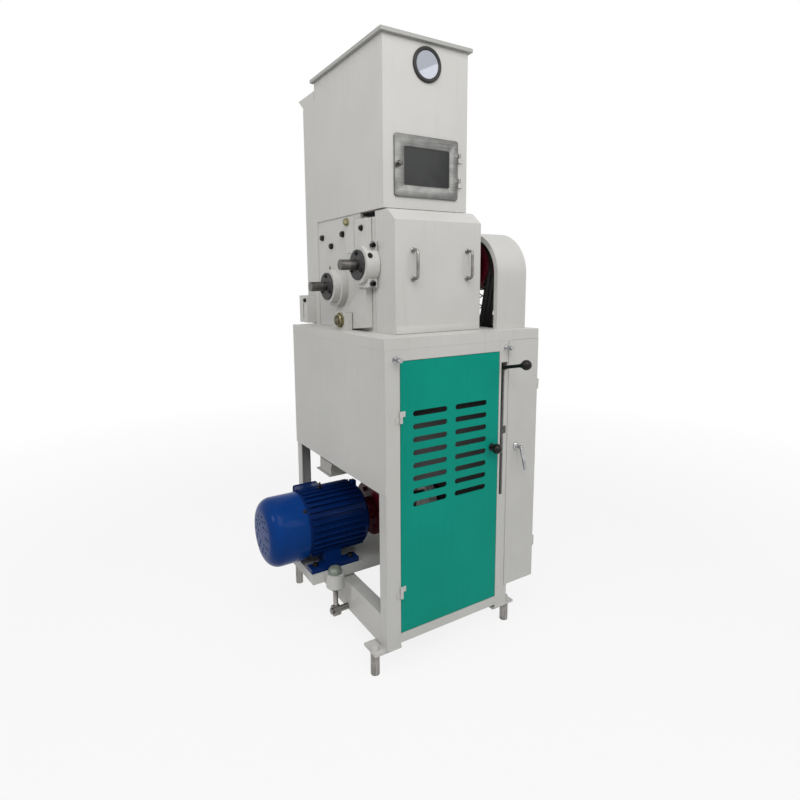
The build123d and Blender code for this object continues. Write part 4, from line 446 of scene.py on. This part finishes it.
def turned(profile, sides):
    """Draw a disc out ring by ring along z; each ring is (radius, height) in millimetres."""
    alone()
    radius, height = profile[0]
    bpy.ops.mesh.primitive_circle_add(vertices=sides, radius=radius / 1000, fill_type="NGON")
    made = bpy.context.object
    bpy.ops.object.mode_set(mode="EDIT")
    bpy.ops.transform.translate(value=(0, 0, height / 1000))
    for wide, far in profile[1:]:
        rise = (0, 0, (far - height) / 1000)
        bpy.ops.mesh.extrude_region_move(TRANSFORM_OT_translate={"value": rise})
        grow = wide / radius
        bpy.ops.transform.resize(value=(grow, grow, 1), center_override=(0, 0, far / 1000))
        radius, height = wide, far
    bpy.ops.mesh.select_all(action="SELECT")
    bpy.ops.mesh.normals_make_consistent(inside=False)
    bpy.ops.object.mode_set(mode="OBJECT")
    bpy.ops.object.shade_smooth_by_angle(angle=SMOOTH)
    return made


def ring(profile, sides=64):
    """Turned ring: the profile runs from its outer back edge round to its inner back edge."""
    made = turned(profile, sides)
    bpy.ops.object.mode_set(mode="EDIT")
    bpy.ops.mesh.select_mode(type="FACE")
    bpy.ops.mesh.select_all(action="DESELECT")
    mesh = bmesh.from_edit_mesh(made.data)
    for face in mesh.faces:
        face.select = len(face.verts) > 4
    bpy.ops.mesh.delete(type="ONLY_FACE")
    bpy.ops.mesh.select_mode(type="EDGE")
    bpy.ops.mesh.select_non_manifold()
    bpy.ops.mesh.bridge_edge_loops()
    bpy.ops.mesh.select_all(action="SELECT")
    bpy.ops.mesh.normals_make_consistent(inside=False)
    bpy.ops.object.mode_set(mode="OBJECT")
    return made


def slab(wide, deep, high, corner, soft):
    """Flat block on z = 0 with rounded upright corners and softened edges, in millimetres."""
    alone()
    bpy.ops.mesh.primitive_cube_add(size=1)
    made = bpy.context.object
    bpy.ops.object.mode_set(mode="EDIT")
    bpy.ops.transform.resize(value=(wide / 1000, deep / 1000, high / 1000))
    bpy.ops.transform.translate(value=(0, 0, high / 2000))
    bpy.ops.mesh.select_mode(type="EDGE")
    mesh = bmesh.from_edit_mesh(made.data)
    for edge in mesh.edges:
        run = edge.verts[1].co - edge.verts[0].co
        edge.select = abs(run.x) + abs(run.y) < 1e-6
    bmesh.update_edit_mesh(made.data)
    bpy.ops.mesh.bevel(offset=corner / 1000, segments=6, affect="EDGES")
    bpy.ops.object.mode_set(mode="OBJECT")
    if soft:
        soften(made, soft)
    return made


def soften(made, width):
    """Round a piece's sharp edges by a width in millimetres."""
    bpy.context.view_layer.objects.active = made
    bevel = made.modifiers.new("soften", "BEVEL")
    bevel.width = width / 1000
    bevel.segments = 2
    bevel.angle_limit = SMOOTH
    bpy.ops.object.modifier_apply(modifier=bevel.name)
    made.select_set(True)
    bpy.ops.object.shade_smooth_by_angle(angle=SMOOTH)


def cut(made, tool):
    """Take one piece out of another."""
    alone()
    bpy.context.view_layer.objects.active = made
    away = made.modifiers.new("cut", "BOOLEAN")
    away.operation = "DIFFERENCE"
    away.object = tool
    bpy.ops.object.modifier_apply(modifier=away.name)
    bpy.data.objects.remove(tool)
    made.select_set(True)


def joined(first, *others):
    """Join pieces of one finish into the first."""
    alone()
    for made in (first, *others):
        made.select_set(True)
    bpy.context.view_layer.objects.active = first
    bpy.ops.object.join()
    return first


def put(made, name, place, axis, finish, body):
    """Turn a piece's z to an axis, set it in its place and let it ride on a body."""
    alone()
    made.select_set(True)
    bpy.context.view_layer.objects.active = made
    made.name = name
    made.data.name = name
    made.rotation_euler = Vector(axis).to_track_quat("Z", "Y").to_euler()
    made.location = place
    bpy.ops.object.transform_apply(location=True, rotation=True, scale=True)
    made.data.materials.clear()
    made.data.materials.append(finish)
    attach(made, body)
    return made


def copy_of(made):
    """A copy of a piece, with a mesh of its own."""
    alone()
    made.select_set(True)
    bpy.context.view_layer.objects.active = made
    bpy.ops.object.duplicate()
    return bpy.context.object


def spread(made, finish, places):
    """Copies of a piece, each a piece at its own place; the pattern itself goes."""
    copies = []
    for name, place, axis, body in places:
        copies.append(put(copy_of(made), name, place, axis, finish, body))
    bpy.data.objects.remove(made)
    return copies


def gathered(made, places):
    """Copies of a piece at several places, in one piece; the pattern itself goes."""
    copies = []
    for place in places:
        copies.append(copy_of(made))
        copies[-1].location = place
        bpy.ops.object.transform_apply(location=True, rotation=True, scale=True)
    bpy.data.objects.remove(made)
    return joined(*copies)


def hex_head(across, high):
    """Hexagon head with a turned chamfer and a washer face."""
    reach = across / 3 ** 0.5
    head = turned(((reach, 1.0), (reach, high - 2.0), (reach * 0.9, high)), sides=6)
    washer = turned(((reach + 1.5, 0.0), (reach + 1.5, 1.2), (reach + 1.0, 1.6)), sides=32)
    return joined(head, washer)


def socket_head(radius, high):
    """Socket screw head on a washer, with its recess."""
    head = turned(((radius, 1.5), (radius, high - 1), (radius - 1, high), (radius * 0.55, high),
                   (radius * 0.5, high - 0.6), (radius * 0.5, high * 0.4)), sides=32)
    washer = turned(((radius + 3, 0.0), (radius + 3, 1.2), (radius + 2.6, 1.6)), sides=32)
    return joined(head, washer)


def grease_nipple():
    """Small turned nipple with a ball seat."""
    return turned(((4.0, 0.0), (4.0, 4.0), (2.4, 5.0), (2.4, 8.0), (3.2, 9.0), (3.2, 10.5), (1.2, 12.0)),
                  sides=16)


def weld(length, radius):
    """Run of weld metal laid along z, with a ripple every 3 mm."""
    stride = 1.5
    steps = int(length / stride)
    rings = [(radius * (1.0 if step % 2 else 0.82), step * stride) for step in range(1, steps)]
    return turned(((radius * 0.4, 0.0), *rings, (radius * 0.4, steps * stride)), sides=12)


# Fasteners

def base_fasteners():
    """Foot bolts, chute bolts, the two bright thumb screws under the cap and a nut on the left strip."""
    corners = ((-22, 35), (-22, 680), (541, 35), (541, 680))
    feet = [(f"foot_bolt_{i}", at(x, y, PLATE_TOP), UP, "base") for i, (x, y) in enumerate(corners)]
    bolts = spread(hex_head(24, 10), WHITE, feet)
    heads = ((630, 1441), (455, 1443), (550, 1405))
    chute = [(f"chute_bolt_{i}", at(BOX_LEFT, y, z), FACING_LEFT, "base") for i, (y, z) in enumerate(heads)]
    spread(hex_head(18, 11), BLACKED, chute)
    screw = turned(((11, 0), (11, 1.6), (8, 1.7), (8, 3.5), (5, 4), (5, 9), (6.4, 10), (7.4, 11.5), (7.4, 31),
                    (6.6, 32.5), (3.2, 32.5), (2.6, 31.5)), sides=32)
    ends = ((41, 1037), (491, 1042))
    grips = [(f"cap_screw_{i}", at(x, 0, z), FACING_FRONT, "base") for i, (x, z) in enumerate(ends)]
    spread(screw, CHROME, grips)
    put(hex_head(22, 13), "strip_nut", at(79, 371, 1478), FACING_LEFT, ZINC, "base")
    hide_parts("frame_bolts")


def arm_fasteners():
    """Cap screws on bright washers, pivot nuts and the arm bolts."""
    lugs = []
    for side, x in (("left", 84), ("right", 475)):
        for level, rise in (("low", -63), ("high", 63)):
            lugs.append((f"{side}_{level}", at(x, 205, FRONT_ROLL[1] + rise), FACING_FRONT, "swing"))
    washer = turned(((13.5, 0.0), (13.5, 2.0), (12.9, 2.6), (8.6, 2.6)), sides=32)
    spread(washer, CHROME, [("cap_washer_" + name, *rest) for name, *rest in lugs])
    bolts = spread(socket_head(8, 10), BLACKED,
                   [("cap_bolt_" + name, *rest) for name, *rest in lugs])
    nut = joined(hex_head(45, 13), turned(((17.5, 12), (17.5, 16), (15.5, 17)), sides=32))
    ends = (("left", 49, FACING_LEFT), ("right", 510, ALONG_X))
    spread(nut, ZINC,
           [(f"pivot_nut_{side}", at(x, *ARM_PIVOT), axis, "swing") for side, x, axis in ends])
    arms = (("left", 79, FACING_LEFT), ("right", 480, ALONG_X))
    spread(socket_head(8, 9), BLACKED,
           [(f"arm_bolt_{side}", at(x, 268, 1449), axis, "swing") for side, x, axis in arms])
    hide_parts("arm_fasteners")


def bearing_details():
    """Screws round the bearing covers, grease nipples on the housings and plugs in the caps."""
    screw_circle = 38
    covers = (("front_left", 46, FACING_LEFT, FRONT_ROLL, "swing"),
              ("front_right", 513, ALONG_X, FRONT_ROLL, "swing"),
              ("rear_left", 48, FACING_LEFT, REAR_ROLL, "base"),
              ("rear_right", 492, ALONG_X, REAR_ROLL, "base"))
    screws = []
    for name, x, axis, (y, z), body in covers:
        for angle in (90, 210, 330):
            across, up = math.cos(math.radians(angle)), math.sin(math.radians(angle))
            place = at(x, y + screw_circle * across, z + screw_circle * up)
            screws.append((f"cover_screw_{name}_{angle}", place, axis, body))
    spread(socket_head(5.5, 6), BLACKED, screws)
    # The front nipples lean 0.5 rad forward from upright, and the plugs 1.1 rad
    lean = Vector((0, -math.sin(0.5), math.cos(0.5)))
    nipples = [(f"front_nipple_{x}", at(x, *FRONT_ROLL) + lean * 0.0620, lean, "swing") for x in (77, 482)]
    nipples += [(f"rear_nipple_{x}", at(x, REAR_ROLL[0], REAR_ROLL[1] + 62), UP, "base") for x in (66, 474)]
    spread(grease_nipple(), ZINC, nipples)
    lean = Vector((0, -math.sin(1.1), math.cos(1.1)))
    plug = turned(((9, -1.5), (9, 2.5), (8.2, 3.4), (5.2, 3.4), (4.6, 2.8), (4.6, 0.5)), sides=32)
    spread(plug, BLACKED,
           [(f"cap_plug_{x}", at(x, *FRONT_ROLL) + lean * 0.0625, lean, "swing") for x in (67, 492)])


# Doors, handles and glass

def bow_handle():
    """Round bar bent to a bow 91 mm high that stands 29 mm out, with a rosette on each foot."""
    leg, bend, grip = 0.015, 0.014, 0.063
    alone()
    bpy.ops.mesh.primitive_circle_add(vertices=20, radius=0.005, fill_type="NGON")
    made = bpy.context.object
    bpy.ops.object.mode_set(mode="EDIT")
    bpy.ops.mesh.extrude_region_move(TRANSFORM_OT_translate={"value": (0, 0, leg)})
    bpy.ops.mesh.spin(steps=8, angle=math.radians(90), center=(0, bend, leg), axis=(1, 0, 0))
    bpy.ops.mesh.extrude_region_move(TRANSFORM_OT_translate={"value": (0, grip, 0)})
    bpy.ops.mesh.spin(steps=8, angle=math.radians(90), center=(0, bend + grip, leg), axis=(1, 0, 0))
    bpy.ops.mesh.extrude_region_move(TRANSFORM_OT_translate={"value": (0, 0, -leg)})
    bpy.ops.mesh.select_all(action="SELECT")
    bpy.ops.mesh.remove_doubles(threshold=1e-6)
    bpy.ops.mesh.normals_make_consistent(inside=False)
    bpy.ops.object.mode_set(mode="OBJECT")
    bpy.ops.object.shade_smooth_by_angle(angle=SMOOTH)
    foot = turned(((9, 0.0), (9, 2.0), (7.5, 3.5), (5.2, 4.0)), sides=24)
    return joined(made, gathered(foot, ((0, 0, 0), (0, grip + 2 * bend, 0))))


def cover_trim():
    """The two bow handles on the front cover and the hem along its foot."""
    sides = (("left", 172), ("right", 394))
    feet = [(f"cover_handle_{side}", at(x, COVER_FRONT, 1278), FACING_FRONT, "cover") for side, x in sides]
    handles = spread(bow_handle(), DRAWN, feet)
    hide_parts("cover_handles")
    hem = slab(344, 25, 1.4, 1.5, soft=0.4)
    put(hem, "cover_hem", at(279, COVER_FRONT, 1114), FACING_FRONT, WHITE, "cover")


def flat_frame(outer, inner, high, soft):
    """Flat frame with rounded corners; outer and inner are (wide, deep, corner) in millimetres."""
    wide, deep, corner = outer
    made = slab(wide, deep, high, corner, soft=0)
    wide, deep, corner = inner
    hole = slab(wide, deep, 20, corner, soft=0)
    hole.location.z = -0.005
    cut(made, hole)
    soften(made, soft)
    return made


def inspection_door():
    """Stainless frame with rounded corners, its gasket, hinge knuckles and turned knob."""
    x, z = HATCH
    leaf = flat_frame((256, 195, 10), (182, 121, 6), 6, 0.8)
    leaf = put(leaf, "inspection_frame", at(x, HOPPER_FRONT, z), FACING_FRONT, STAINLESS,
               "hatch")
    bead = flat_frame((184, 123, 7), (174, 113, 4), 3.5, 0.6)
    put(bead, "inspection_gasket", at(x, HOPPER_FRONT - 2, z), FACING_FRONT, BELTING,
        "hatch")
    face = HOPPER_FRONT - 6
    levels = (("low", 1601), ("high", 1683))
    knuckle = turned(((4.4, 0.2), (5, 0.8), (5, 14.0), (4.4, 14.8)), sides=24)
    spread(knuckle, STAINLESS,
           [(f"inspection_knuckle_{level}", at(402, face, z), UP, "hatch") for level, z in levels])
    tab = slab(20, 13, 2, 2, soft=0.4)
    spread(tab, STAINLESS,
           [(f"inspection_tab_{level}", at(393, face + 1.5, z + 7.6), FACING_FRONT, "hatch")
            for level, z in levels])
    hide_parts("inspection_door")
    knob = turned(((11, 0.3), (11, 1.8), (9.5, 3), (6, 3.6), (6, 9), (6.6, 11), (8.2, 12.5), (8.6, 14),
                   (8.6, 18), (7.6, 19.4), (3, 20)), sides=32)
    x, z = HATCH_KNOB
    knob = put(knob, "inspection_grip", at(x, face, z), FACING_FRONT, TURNED, "hatch_knob")
    stem = turned(((6, 0.4), (6, 6.0), (5.4, 6.4)), sides=32)
    put(stem, "inspection_stem", at(x, face, z), FACING_BACK, STAINLESS, "hatch_knob")
    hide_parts("inspection_knob")


def sight_glass_ring():
    """Black moulded ring round the sight glass."""
    made = ring(((55, 0), (55, 4.5), (54, 6.5), (52, 7.8), (49, 8), (46, 7.4), (44, 6), (42.6, 4), (42.6, 0)))
    made = put(made, "sight_ring", at(*SIGHT_GLASS), FACING_FRONT, BELTING, "base")
    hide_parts("sight_glass_ring")


def ball_knob(radius):
    """Moulded ball with a flat where the stem goes in."""
    rings = [(radius * math.sin(math.radians(a)), radius * (1 - math.cos(math.radians(a))))
             for a in range(24, 180, 12)]
    return turned((*rings, (radius * 0.06, radius * 2)), sides=40)


def black_balls():
    """Ball on the lever's end with its collar, and the door's knob with its spindle and tongue."""
    radius = 17.5
    # The lever rises 86 mm over its 418 mm length
    tilt = math.atan2(86, 418)
    out = Vector((0, -math.cos(tilt), math.sin(tilt)))
    centre = at(478, -108, 996)
    x, z = DOOR_KNOB
    balls = (("lever_knob", centre - out * radius / 1000, out, "lever"),
             ("door_ball", at(x, -10, z), FACING_FRONT, "knob"))
    ball, knob = spread(ball_knob(radius), BAKELITE, balls)
    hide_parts("lever_ball")
    collar = turned(((8.5, 0), (9, 0.6), (9, 5.4), (8, 6)), sides=32)
    put(collar, "lever_collar", centre - out * 0.0226, out, BLACKED, "lever")
    rosette = turned(((13, 0.3), (13, 3), (11, 5), (7.5, 6.5), (7, 11)), sides=36)
    put(rosette, "door_rosette", at(x, 0, z), FACING_FRONT, BLACKED, "knob")
    spindle = turned(((6, 0.5), (6, 11.5), (5.4, 12)), sides=32)
    put(spindle, "door_spindle", at(x, -2.5, z), FACING_BACK, BLACKED, "knob")
    tongue = slab(16, 46, 4, 5, soft=0.5)
    put(tongue, "door_tongue", at(x, 8.5, z - 15), FACING_FRONT, BLACKED, "knob")
    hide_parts("door_knob")


def latch_handle():
    """Chromed swing handle: rosette, spindle, bent tapered grip and the inner tongue."""
    rosette = turned(((13, 0.3), (13, 3), (11.5, 5), (8, 6.5), (7, 9)), sides=36)
    spindle = turned(((6, 0), (6, 30), (7.5, 31), (7.5, 39), (6, 40.5)), sides=32)
    spindle.location.z = -0.008
    alone()
    spindle.select_set(True)
    bpy.ops.object.transform_apply(location=True)
    x, z = LATCH
    made = put(joined(rosette, spindle), "latch_spindle", at(x, -3, z), FACING_FRONT, CHROME,
               "latch")
    grip = slab(13, 11, 84, 4, soft=1.5)
    bpy.ops.object.mode_set(mode="EDIT")
    bpy.ops.mesh.select_mode(type="VERT")
    mesh = bmesh.from_edit_mesh(grip.data)
    for vert in mesh.verts:
        vert.select = vert.co.z > 0.04
    bmesh.update_edit_mesh(grip.data)
    bpy.ops.transform.resize(value=(0.8, 0.75, 1), center_override=(0, 0, 0.084))
    bpy.ops.object.mode_set(mode="OBJECT")
    # The grip hangs down and stands 26 mm further out at its end
    lean = Vector((0, -26, -85)).normalized()
    put(grip, "latch_grip", at(x, -29, z + 4), lean, CHROME, "latch")
    tongue = slab(16, 33, 4, 5, soft=0.5)
    put(tongue, "latch_tongue", at(x, 8, z + 8.5), FACING_FRONT, BLACKED, "latch")
    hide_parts("panel_latch")


# Motor and adjuster

def motor_details():
    """End shield bolts, cowl screws, terminal box lid with its gland, and foot bolts."""
    y, z = MOTOR_AXIS
    bolt_circle, cowl_radius = 0.092, 0.1235
    shield, cowl = [], []
    for angle in (45, 135, 225, 315):
        out = Vector((0, math.cos(math.radians(angle)), math.sin(math.radians(angle))))
        shield.append((f"shield_bolt_{angle}", at(SHIELD_FACE, y, z) + out * bolt_circle, ALONG_X, "cradle"))
        cowl.append((f"cowl_screw_{angle}", at(COWL_FOOT - 7, y, z) + out * cowl_radius, out, "cradle"))
    spread(hex_head(13, 7), BLACKED, shield)
    spread(socket_head(4, 5), BLACKED, cowl)
    cap = turned(((52, 0), (52, 3), (48, 6), (30, 8), (24, 8)), sides=48)
    put(cap, "shield_cap", at(SHIELD_FACE, y, z), ALONG_X, BLUE, "cradle")
    box_back, lid_high, foot_top = 627, 6, 262
    lid = slab(106, 101, lid_high, 8, soft=1.5)
    put(lid, "terminal_lid", at(-5, box_back, 403.5), FACING_BACK, BLUE, "cradle")
    corners = [at(x, box_back + lid_high, z) for x in (-48, 38) for z in (361, 446)]
    spread(socket_head(3.5, 4), BLACKED,
           [(f"lid_screw_{i}", place, FACING_BACK, "cradle") for i, place in enumerate(corners)])
    gland = turned(((14, 0), (14, 5), (11, 6), (11, 12), (13, 13), (13, 19), (10, 22), (6, 22), (6, 16)),
                   sides=24)
    put(gland, "terminal_gland", at(-5, 600, 356), (0, 0, -1), BAKELITE, "cradle")
    holes = [at(x, y, foot_top) for x in (42, -98) for y in (327, 543)]
    spread(hex_head(18, 9), BLACKED,
           [(f"motor_bolt_{i}", place, UP, "cradle") for i, place in enumerate(holes)])


def motor_cowl():
    """Deep-drawn cowl with a full round at its end, a 3 mm wall and three rings of air holes."""
    outer, bend, straight = 124, 46, 92
    turns = [math.radians(a) for a in range(0, 91, 10)]
    end = [(outer - bend + bend * math.cos(turn), straight + bend * math.sin(turn)) for turn in turns]
    cowl = turned(((outer, 0), (outer, straight / 2), *end, (40, 138.4), (4, 138.5)), sides=72)
    bpy.ops.object.mode_set(mode="EDIT")
    bpy.ops.mesh.select_mode(type="FACE")
    bpy.ops.mesh.select_all(action="DESELECT")
    mesh = bmesh.from_edit_mesh(cowl.data)
    for face in mesh.faces:
        face.select = face.calc_center_median().z < 0.0001
    bmesh.update_edit_mesh(cowl.data)
    bpy.ops.mesh.delete(type="FACE")
    bpy.ops.object.mode_set(mode="OBJECT")
    wall = cowl.modifiers.new("wall", "SOLIDIFY")
    wall.thickness = 0.003
    bpy.ops.object.modifier_apply(modifier=wall.name)
    holes = []
    for radius, count in ((38, 6), (52, 9), (66, 12)):
        for step in range(count):
            angle = 2 * math.pi * step / count
            holes.append((radius * math.cos(angle) / 1000, radius * math.sin(angle) / 1000, 0))
    cut(cowl, gathered(turned(((5, 128), (5, 148)), sides=20), holes))
    bpy.ops.object.shade_smooth_by_angle(angle=SMOOTH)
    place = at(COWL_FOOT, *MOTOR_AXIS)
    cowl = put(cowl, "cowl_shell", place, FACING_LEFT, COWL_BLUE, "cradle")
    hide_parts("fan_cowl")


def lifting_eye():
    """Small eye on the motor's top, turned end-on to the front left, and a lug on the end shield."""
    reach, bar = 7.5, 3
    turns = [math.radians(a) for a in range(-60, 221, 40)]
    section = [(reach + bar * math.cos(turn), bar * math.sin(turn)) for turn in turns]
    x, y, z = EYE_FOOT
    eye = put(ring(section, sides=40), "lifting_eye", at(x, y, z + 12), (0.86, -0.51, 0), BLACKED,
              "cradle")
    stem = turned(((9, 0.0), (9, 3.0), (6, 4.5), (4.5, 6.5)), sides=24)
    put(stem, "eye_stem", at(*EYE_FOOT), UP, BLACKED, "cradle")
    put(slab(22, 26, 21, 5, soft=2.0), "shield_lug", at(114, y, 486), UP, BLUE, "cradle")
    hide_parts("motor_fasteners")


def adjuster_thread():
    """Rolled thread on the belt adjuster's rod, 2.5 mm pitch, drawn coarse enough to show."""
    ridge, reach, pitch, turns = 0.0011, 0.0078, 0.0025, 22
    alone()
    bpy.ops.mesh.primitive_circle_add(vertices=4, radius=ridge)
    made = bpy.context.object
    bpy.ops.object.mode_set(mode="EDIT")
    bpy.ops.mesh.select_all(action="SELECT")
    bpy.ops.transform.rotate(value=math.radians(90), orient_axis="X", center_override=(0, 0, 0))
    bpy.ops.transform.translate(value=(reach, 0, 0))
    bpy.ops.object.mode_set(mode="OBJECT")
    screw = made.modifiers.new("thread", "SCREW")
    screw.axis = "Z"
    screw.screw_offset = pitch
    screw.iterations = turns
    screw.steps = screw.render_steps = 20
    bpy.ops.object.modifier_apply(modifier=screw.name)
    bpy.ops.object.shade_smooth_by_angle(angle=math.radians(50))
    put(made, "adjuster_thread", at(-45, 275, 124), UP, DRAWN, "base")


def weld_runs():
    """Welds round the posts on the foot plates, and the bolt of the duct's bracket."""
    front = [(f"front_weld_{x}", at(x, 1, PLATE_TOP), ALONG_X, "base") for x in (8, 463)]
    spread(weld(48, 2.6), WHITE, front)
    corners = [(x, y) for x in (3, 516) for y in (5, 675)]
    sides = [(f"side_weld_{x}_{y}", at(x, y, PLATE_TOP), FACING_BACK, "base") for x, y in corners]
    spread(weld(34, 2.6), WHITE, sides)
    put(hex_head(13, 8), "bracket_bolt", at(60, 722, 1196), FACING_LEFT, BLACKED, "base")


bpy.context.scene.view_settings.view_transform = "Standard"
bpy.ops.object.select_all(action="DESELECT")
photo_camera()
studio()
base_fasteners()
arm_fasteners()
bearing_details()
cover_trim()
inspection_door()
sight_glass_ring()
black_balls()
latch_handle()
motor_details()
motor_cowl()
lifting_eye()
adjuster_thread()
weld_runs()
